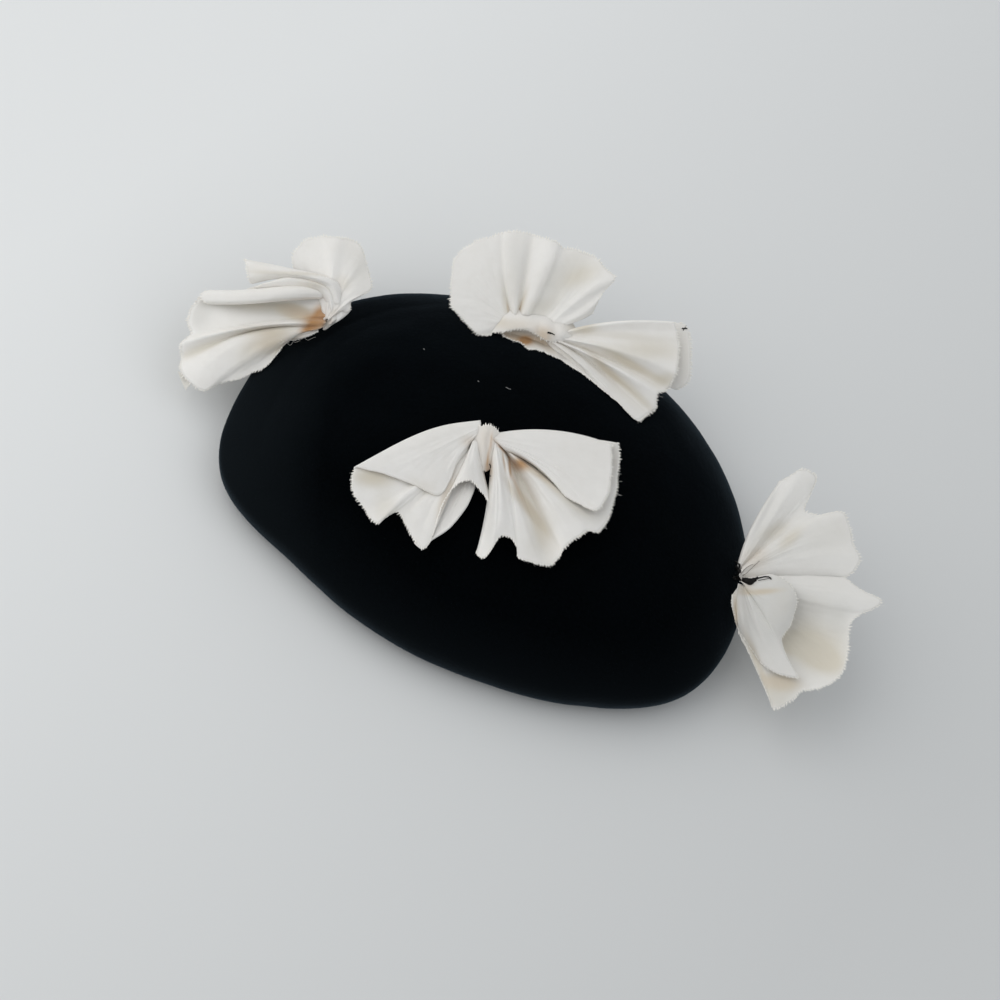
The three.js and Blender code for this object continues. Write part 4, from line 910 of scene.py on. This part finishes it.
def sheet_grid(bow, kind, rows, seed):
    """A grid of points (rays by steps) of one sheet in mm, with its masks."""
    table = np.array(rows, float)
    spacing = 0.75
    p = [0.0]
    for i in range(len(table) - 1):
        gap = max(np.linalg.norm(table[i + 1, c : c + 3] - table[i, c : c + 3]) for c in range(3, table.shape[1], 3))
        n = int(np.clip(math.ceil(gap / spacing), 3, 26))
        p.extend(i + (np.arange(n) + 1) / n)
    p = np.array(p)
    values = catmull(table, np.minimum(p, len(table) - 1 - 1e-6))
    g, m, e = values[:, :3], values[:, -6:-3], values[:, -3:]
    steps = 40
    t = np.linspace(0, 1, steps + 1) ** 0.92
    if kind == "fold":
        d = e - m
        d /= np.linalg.norm(d, axis=1, keepdims=True) + 1e-9
        e = e - ROLL_MM * d
    elif kind != "plain":
        d = e - m
        e = e - FRINGE_MM * d / (np.linalg.norm(d, axis=1, keepdims=True) + 1e-9)
    if values.shape[1] == 9:
        l0, l1, l2 = (1 - t) * (1 - 2 * t), 4 * t * (1 - t), t * (2 * t - 1)
        abh = g[:, None] * l0[None, :, None] + m[:, None] * l1[None, :, None] + e[:, None] * l2[None, :, None]
    else:
        knots = np.stack([g, values[:, 3:6], m, e], 0)
        abh = np.stack([catmull(knots.reshape(4, -1), np.full(1, min(3 * q, 3 - 1e-6)))[0].reshape(g.shape) for q in t], 1)
    run = np.concatenate([[0], np.cumsum(np.linalg.norm(np.diff(e, axis=0), axis=1))])
    length = np.linalg.norm(np.diff(abh, axis=1), axis=-1).sum(1)
    tt = np.broadcast_to(t, abh.shape[:2])
    ss = np.broadcast_to(run[:, None], abh.shape[:2])
    # pleats that start in the gather, and creases that follow the rays
    pleats = 0.75 * len(rows)
    phase = 2 * math.pi * pleats * (p / p[-1])[:, None]
    ripple = (0.12 if kind == "fray" else 0.0) * np.exp(-((tt / 0.30) ** 2)) * np.sin(phase + 0.7 * seed) * np.clip(tt / 0.05, 0, 1)
    mid = np.sin(math.pi * np.clip(tt, 0, 1)) ** 0.5 * (1.0 if kind == "fray" else 0.55)
    q = np.stack([ss / 9.0, tt * 1.4, np.full_like(ss, seed * 3.7)], -1).reshape(-1, 3)
    rays = noise_at(q, 1.0, seed).reshape(ss.shape)
    q = np.stack([ss / 3.6, tt * 2.6, np.full_like(ss, seed * 1.9)], -1).reshape(-1, 3)
    rays2 = noise_at(q, 1.0, seed + 5).reshape(ss.shape)
    q = np.stack([ss / 6.0, tt * length[:, None] / 6.0, np.full_like(ss, seed * 2.3)], -1).reshape(-1, 3)
    soft = noise_at(q, 1.0, seed + 9).reshape(ss.shape)
    bump = ripple + mid * (0.75 * rays + 0.30 * rays2 + 0.30 * soft)
    abh = abh.copy()
    abh[..., 2] += bump
    if kind != "fold":
        # the cut edge wavers a little
        q = np.stack([run / 1.7, 0 * run, np.full_like(run, seed)], -1)
        waver = 0.38 * noise_at(q, 1.0, seed + 2) + 0.60 * noise_at(q * 0.25, 1.0, seed + 4)
        d = abh[:, -1] - abh[:, -2]
        d /= np.linalg.norm(d, axis=1, keepdims=True) + 1e-9
        abh += (waver[:, None] * (t ** 6)[None])[..., None] * d[:, None]
    else:
        d = abh[:, -1] - abh[:, -3]
        d /= np.linalg.norm(d, axis=1, keepdims=True) + 1e-9
        down = np.array([0, 0, -1.0]) - d * (d @ np.array([0, 0, -1.0]))[:, None]
        down /= np.linalg.norm(down, axis=1, keepdims=True) + 1e-9
        turn = np.radians(np.linspace(20, 200, 9))
        curl = abh[:, -1][:, None] + ROLL_MM * (np.sin(turn)[None, :, None] * d[:, None] + (1 - np.cos(turn))[None, :, None] * down[:, None])
        tail = curl[:, -1][:, None] - d[:, None] * np.linspace(0.8, 4.0, 4)[None, :, None]
        abh = np.concatenate([abh, curl, tail], axis=1)
        extra = abh.shape[1] - tt.shape[1]
        tt = np.concatenate([tt, np.ones((len(tt), extra))], axis=1)
        ss = np.concatenate([ss, np.repeat(ss[:, -1:], extra, axis=1)], axis=1)
    a, b = bow_axes(bow["normal"])
    at = np.array(bow["at"], float)
    pts = at + abh[..., :1] * a + abh[..., 1:2] * b + abh[..., 2:] * TO_CAMERA
    return clear_of_felt(pts), abh, tt, ss


def clear_of_felt(pts):
    """Pushes points towards the camera's side until they lie over the felt."""
    out = pts.copy()
    for _ in range(4):
        x, y = out[..., 0] - SHIFT[0], out[..., 1] - SHIFT[1]
        top, share = felt_top(x.ravel(), y.ravel())
        top, share = top.reshape(x.shape), share.reshape(x.shape)
        need = np.where(share <= 1.0, top + FELT_GAP - out[..., 2], 0.6 - out[..., 2])
        # below the girth the cloth stays beside the felt
        need = np.where((share <= 1.0) | (out[..., 2] < 0.6), need, 0.0)
        push = np.clip(need, 0, 30)
        out = out + (push * 0.85)[..., None] * TO_CAMERA[None, None] / 1.0
    return out


def sheet_mesh(pts):
    """A closed thin shell round a grid of points."""
    n, m = pts.shape[:2]
    du = np.gradient(pts, axis=0)
    dv = np.gradient(pts, axis=1)
    normal = np.cross(du, dv)
    normal /= np.linalg.norm(normal, axis=-1, keepdims=True) + 1e-9
    top, low = pts + CLOTH_HALF * normal, pts - CLOTH_HALF * normal
    verts = np.concatenate([top.reshape(-1, 3), low.reshape(-1, 3)])
    half = n * m
    i, j = np.meshgrid(np.arange(n - 1), np.arange(m - 1), indexing="ij")
    a = (i * m + j).ravel()
    faces = [(q, q + m, q + m + 1, q + 1) for q in a]
    faces += [(half + q, half + q + 1, half + q + m + 1, half + q + m) for q in a]
    for j in range(m - 1):
        faces.append((j, j + 1, half + j + 1, half + j))
        q = (n - 1) * m + j
        faces.append((q + 1, q, half + q, half + q + 1))
    for i in range(n - 1):
        q = i * m
        faces.append((q + m, q, half + q, half + q + m))
        q = i * m + m - 1
        faces.append((q, q + m, half + q + m, half + q))
    return verts, faces


def painted_recess_shade(abh, tt):
    """How far the cloth lies below what is round it, as a share; it darkens the recesses as painted shade."""
    h = abh[..., 2]
    n, m = h.shape
    wide = max(3, n // 7)
    pad = np.pad(h, ((wide, wide), (0, 0)), mode="edge")
    kernel = np.ones(2 * wide + 1) / (2 * wide + 1)
    mean = np.apply_along_axis(lambda c: np.convolve(c, kernel, mode="valid"), 0, pad)
    return np.clip((mean - h - 0.4) / 4.0, 0, 1) * np.clip(1.15 - tt * 0.6, 0, 1)


def fray_threads(pts, seed):
    """Short threads that stand out of a raw edge."""
    local = np.random.default_rng(100 + seed)
    edge = pts[:, -1]
    back = pts[:, -3]
    run = np.concatenate([[0], np.cumsum(np.linalg.norm(np.diff(edge, axis=0), axis=1))])
    pitch = 0.34
    parts = []
    # the threads cling together in small teeth
    s = 0.0
    while s < run[-1]:
        p = np.array([np.interp(s, run, edge[:, c]) for c in range(3)])
        q = np.array([np.interp(s, run, back[:, c]) for c in range(3)])
        d = p - q
        d /= np.linalg.norm(d) + 1e-9
        d = d + local.normal(0, 0.16, 3)
        d /= np.linalg.norm(d)
        length = local.uniform(0.55, 1.05) + 0.5 * max(0.0, math.sin(0.9 * s + 2.0 * math.sin(0.23 * s + seed)))
        path = [p - 0.45 * d, p + 0.35 * length * d, p + length * d + local.normal(0, 0.06, 3)]
        parts.append(tube(path, [0.40, 0.30, 0.07], sides=5))
        s += local.uniform(0.95, 1.95)
    for s in np.arange(0, run[-1], pitch):
        s = s + local.uniform(-0.1, 0.1)
        p = np.array([np.interp(s, run, edge[:, c]) for c in range(3)])
        q = np.array([np.interp(s, run, back[:, c]) for c in range(3)])
        d = p - q
        d /= np.linalg.norm(d) + 1e-9
        d = d + local.normal(0, 0.20, 3)
        d /= np.linalg.norm(d)
        clump = 0.5 + 0.5 * math.sin(s * 2.4 + 3.0 * math.sin(s * 0.37 + seed))
        length = 0.25 + 0.40 * clump + local.gamma(1.3, 0.14)
        if local.random() < 0.012:
            length += local.uniform(0.8, 2.4)
        bend = local.normal(0, 0.16, 3) * length
        path = [p - 0.35 * d, p + 0.4 * length * d + 0.3 * bend, p + length * d + bend]
        parts.append(tube(path, 0.065 + 0.03 * local.random(), sides=3))
    return parts


def make_bow(name, bow, seed):
    shells, masks, uvs, frays = [], [], [], []
    for k, (sheet, (kind, rows)) in enumerate(bow["sheets"].items()):
        pts, abh, tt, ss = sheet_grid(bow, kind, rows, seed + k * 1.37)
        shells.append(sheet_mesh(pts))
        # painted shade: the cloth's recesses and the beige tints darken it warm, the grey tints darken it grey
        painted_warm_shade = 0.6 * painted_recess_shade(abh, tt)
        near = 0.10 * np.clip(1.0 - np.linalg.norm(abh[..., :2], axis=-1) / 9.0, 0, 1)
        painted_cool_shade = np.zeros_like(tt)
        for where, a, b, half_a, half_b, deg, tan, beige_shade, grey_shade in bow["tints"]:
            if where not in ("*", sheet):
                continue
            c, s = math.cos(math.radians(deg)), math.sin(math.radians(deg))
            da, db = abh[..., 0] - a, abh[..., 1] - b
            reach = ((da * c + db * s) / half_a) ** 2 + ((db * c - da * s) / half_b) ** 2
            blot = np.exp(-(reach**1.3) * 0.9)
            near, painted_warm_shade, painted_cool_shade = near + tan * blot, painted_warm_shade + beige_shade * blot, painted_cool_shade + grey_shade * blot
        near, painted_warm_shade, painted_cool_shade = np.clip(near, 0, 1), np.clip(painted_warm_shade, 0, 1), np.clip(painted_cool_shade, 0, 1)
        rim = np.zeros_like(tt) if kind == "fold" else np.clip((tt - 0.975) / 0.025, 0, 1)
        masks.append(np.stack([near, painted_warm_shade, painted_cool_shade, rim], -1))
        length = np.concatenate([np.zeros((len(pts), 1)), np.cumsum(np.linalg.norm(np.diff(pts, axis=1), axis=-1), axis=1)], axis=1)
        uvs.append(np.stack([ss, length], -1))
        if kind in ("fray", "smooth"):
            frays += fray_threads(pts, int(seed * 10) + k)
    verts, faces = gather_parts([(v, f) for v, f in shells])
    obj = make_object(name + "_cloth", verts, faces, SILK)
    flat = [np.concatenate([m.reshape(-1, m.shape[-1])] * 2) for m in masks]
    flat = np.concatenate(flat)
    # the hollow attribute and the grey one carry painted shade into the silk's colour
    for i, label in enumerate(("gather", "hollow", "painted_cool_shade", "edge")):
        point_attribute(obj, label, flat[:, i])
    uv = np.concatenate([np.concatenate([u.reshape(-1, 2)] * 2) for u in uvs])
    layer = obj.data.uv_layers.new(name="cloth")
    loops = np.empty(len(obj.data.loops), np.int32)
    obj.data.loops.foreach_get("vertex_index", loops)
    layer.data.foreach_set("uv", uv[loops].astype(np.float32).ravel())
    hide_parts(name)
    pieces = [obj]
    if frays:
        v, f = gather_parts(frays)
        fringe = make_object(name + "_fray", v, f, FRAY, smooth=False)
        pieces.append(fringe)
    return obj, pieces[1:]


bows = {}
for number, (name, bow) in enumerate(BOWS.items()):
    bows[name] = make_bow(name, bow, 1.0 + number)


# ---------- loose threads, stitches, lint and the felt's nap ----------
def tree_of(objects):
    verts, faces = [], []
    for obj in objects:
        base = len(verts)
        verts.extend(v.co.copy() for v in obj.data.vertices)
        faces.extend(tuple(base + i for i in p.vertices) for p in obj.data.polygons)
    return BVHTree.FromPolygons(verts, faces)


SURFACE = tree_of([felt_body] + [obj for obj, _ in bows.values()])
THREAD_KIND = {"black": BLACK_THREAD, "brown": BROWN_HAIR, "silk": FRAY, "lint": LINT}


def seen_point(bow, a_mm, b_mm, lift):
    """The point of the cloth or felt under a place in the bow's plane, raised by lift, in mm."""
    a, b = bow_axes(bow["normal"])
    p = np.array(bow["at"], float) + a_mm * a + b_mm * b
    hit = SURFACE.ray_cast(Vector((p + 90 * TO_CAMERA) * MM), Vector(-TO_CAMERA))[0]
    return p if hit is None else np.array(hit) / MM + lift * TO_CAMERA


def make_threads(name, bow, seed):
    local = np.random.default_rng(seed)
    made, groups = [], {}
    for kind, radius, lift, *spots in bow["threads"]:
        spots = np.array(spots, float).reshape(-1, 2)
        p = np.linspace(0, len(spots) - 1, 7 * (len(spots) - 1) + 1)
        flat = catmull(spots, np.minimum(p, len(spots) - 1 - 1e-6))
        path = np.array([seen_point(bow, a, b, lift) for a, b in flat])
        # the thread bridges the narrow gaps
        for _ in range(3):
            path[1:-1] = 0.5 * path[1:-1] + 0.25 * (path[:-2] + path[2:])
        path += local.normal(0, 0.05, path.shape)
        if radius > 0.7:
            u = np.linspace(-1, 1, len(path))
            radius = radius * np.sqrt(1.02 - u * u) * (1 + 0.12 * np.sin(9 * u))
        groups.setdefault(kind, []).append(tube(path, radius, sides=8 if np.max(radius) > 0.1 else 4, taper=False))
    for kind, parts in groups.items():
        v, f = gather_parts(parts)
        obj = make_object(name + "_" + kind, v, f, THREAD_KIND[kind])
        if kind != "lint":  # the lint lies on the felt
            made.append(obj)
    return made


for number, (name, bow) in enumerate(BOWS.items()):
    bows[name] = (bows[name][0], bows[name][1] + make_threads(name, bow, 40 + number))


def make_nap():
    """Fine hairs that stand off the felt."""
    count = 26000
    local = np.random.default_rng(5)
    polys = felt_body.data.polygons
    area = np.array([p.area for p in polys])
    centre = np.array([p.center for p in polys]) / MM
    normal = np.array([p.normal for p in polys])
    outside = (np.sum(normal * (centre - SHIFT - np.array([0, 0, 8.0])), axis=1) > 0) & (centre[:, 2] > 1.2)
    weight = np.where(outside, area, 0)
    pick = local.choice(len(area), count, p=weight / weight.sum())
    n = normal[pick]
    spread = np.sqrt(area[pick])[:, None] / MM * 0.5
    slide = local.normal(0, 1, (count, 3))
    slide -= n * np.sum(slide * n, axis=1, keepdims=True)
    root = centre[pick] + slide * spread * 0.6
    d = n + 0.8 * local.normal(0, 1, (count, 3))
    d -= n * np.minimum(np.sum(d * n, axis=1, keepdims=True) - 0.15, 0)
    d /= np.linalg.norm(d, axis=1, keepdims=True)
    length = local.uniform(0.35, 1.0, (count, 1))
    side = np.cross(d, local.normal(0, 1, (count, 3)))
    side /= np.linalg.norm(side, axis=1, keepdims=True)
    up = np.cross(d, side)
    r = 0.032
    root = root - 0.25 * n
    ring = [root + r * (math.cos(k) * side + math.sin(k) * up) for k in (0.0, 2 * math.pi / 3, 4 * math.pi / 3)]
    verts = np.stack(ring + [root + (length + 0.25) * d], 1).reshape(-1, 3)
    faces = []
    for i in range(count):
        q = 4 * i
        faces += [(q, q + 1, q + 3), (q + 1, q + 2, q + 3), (q + 2, q, q + 3), (q + 2, q + 1, q)]
    return make_object("felt_nap", verts, faces, FELT, smooth=False)


make_nap()


def area_mm2(obj):
    return sum(p.area for p in obj.data.polygons) / 2 / MM**2


for name, (obj, fringe) in bows.items():
    print("cloth area", name, round(area_mm2(obj)), "mm2", "triangles", sum(len(p.vertices) - 2 for p in obj.data.polygons))


# ---------- light, floor and camera ----------
def area_light(name, offset_mm, size, power, colour, target=LOOK_AT):
    data = bpy.data.lights.new(name, "AREA")
    data.shape = "RECTANGLE"
    data.size, data.size_y = size
    data.energy = power
    data.color = colour
    obj = bpy.data.objects.new(name, data)
    bpy.context.scene.collection.objects.link(obj)
    place = Vector((target + offset_mm) * MM)
    obj.location = place
    obj.rotation_euler = (Vector(target * MM) - place).to_track_quat("-Z", "Y").to_euler()
    return obj


area_light("key", -900 * ACROSS + 900 * UPWARD + 900 * TO_CAMERA, (2.4, 2.4), 18.2, (1.0, 0.985, 0.96))
area_light("left", -1300 * ACROSS - 500 * UPWARD + 450 * TO_CAMERA, (1.1, 1.1), 3.0, (0.93, 0.97, 1.0))
area_light("fill", 1200 * ACROSS + 200 * UPWARD + 1200 * TO_CAMERA, (1.8, 1.8), 4.0, (0.96, 0.98, 1.0))

world = bpy.data.worlds.new("studio")
bpy.context.scene.world = world
world.use_nodes = True
world.node_tree.nodes["Background"].inputs["Color"].default_value = (0.95, 0.975, 1.0, 1.0)
world.node_tree.nodes["Background"].inputs["Strength"].default_value = 0.60


def make_floor():
    bpy.ops.mesh.primitive_grid_add(x_subdivisions=8, y_subdivisions=8, size=8.0, location=(0, 0, 0))
    floor = bpy.context.object
    floor.name = "studio_floor"
    m, t, b = new_material("studio_floor_paper")
    coord = t.nodes.new("ShaderNodeTexCoord").outputs["Object"]
    n = node(t, "ShaderNodeTexNoise", Scale=1.1, Detail=2.0)
    t.links.new(coord, n.inputs["Vector"])
    paper = mix_rgb(t, n.outputs["Fac"], (0.665, 0.675, 0.675), (0.645, 0.655, 0.655))
    # painted light: the floor is paler towards one corner and darker where the light falls off
    light_falloff = node(t, "ShaderNodeVectorMath", operation="DOT_PRODUCT")
    t.links.new(coord, light_falloff.inputs[0])
    light_falloff.inputs[1].default_value = tuple((-0.078 * ACROSS + 0.102 * UPWARD) / 0.240)
    shade = math_node(t, "MINIMUM", math_node(t, "MAXIMUM", math_node(t, "ADD", light_falloff.outputs["Value"], 1.03), 0.90), 1.16)
    tone = t.nodes.new("ShaderNodeCombineColor")
    for channel in ("Red", "Green", "Blue"):
        t.links.new(shade, tone.inputs[channel])
    t.links.new(mix_rgb(t, 1.0, paper, tone.outputs["Color"], "MULTIPLY"), b.inputs["Base Color"])
    b.inputs["Roughness"].default_value = 0.95
    b.inputs["Specular IOR Level"].default_value = 0.1
    floor.data.materials.append(m)
    return floor


make_floor()

camera_data = bpy.data.cameras.new("photo_camera")
camera_data.lens = 100.0
camera_data.sensor_width = 36.0
camera_data.clip_start = 0.05
camera = bpy.data.objects.new("photo_camera", camera_data)
bpy.context.scene.collection.objects.link(camera)
turn = Matrix([list(ACROSS), list(UPWARD), list(TO_CAMERA)]).transposed().to_4x4()
camera.matrix_world = Matrix.Translation(Vector((LOOK_AT + DISTANCE * TO_CAMERA) * MM)) @ turn
bpy.context.scene.camera = camera
bpy.context.scene.view_settings.view_transform = "Standard"
bpy.context.scene.view_settings.look = "None"
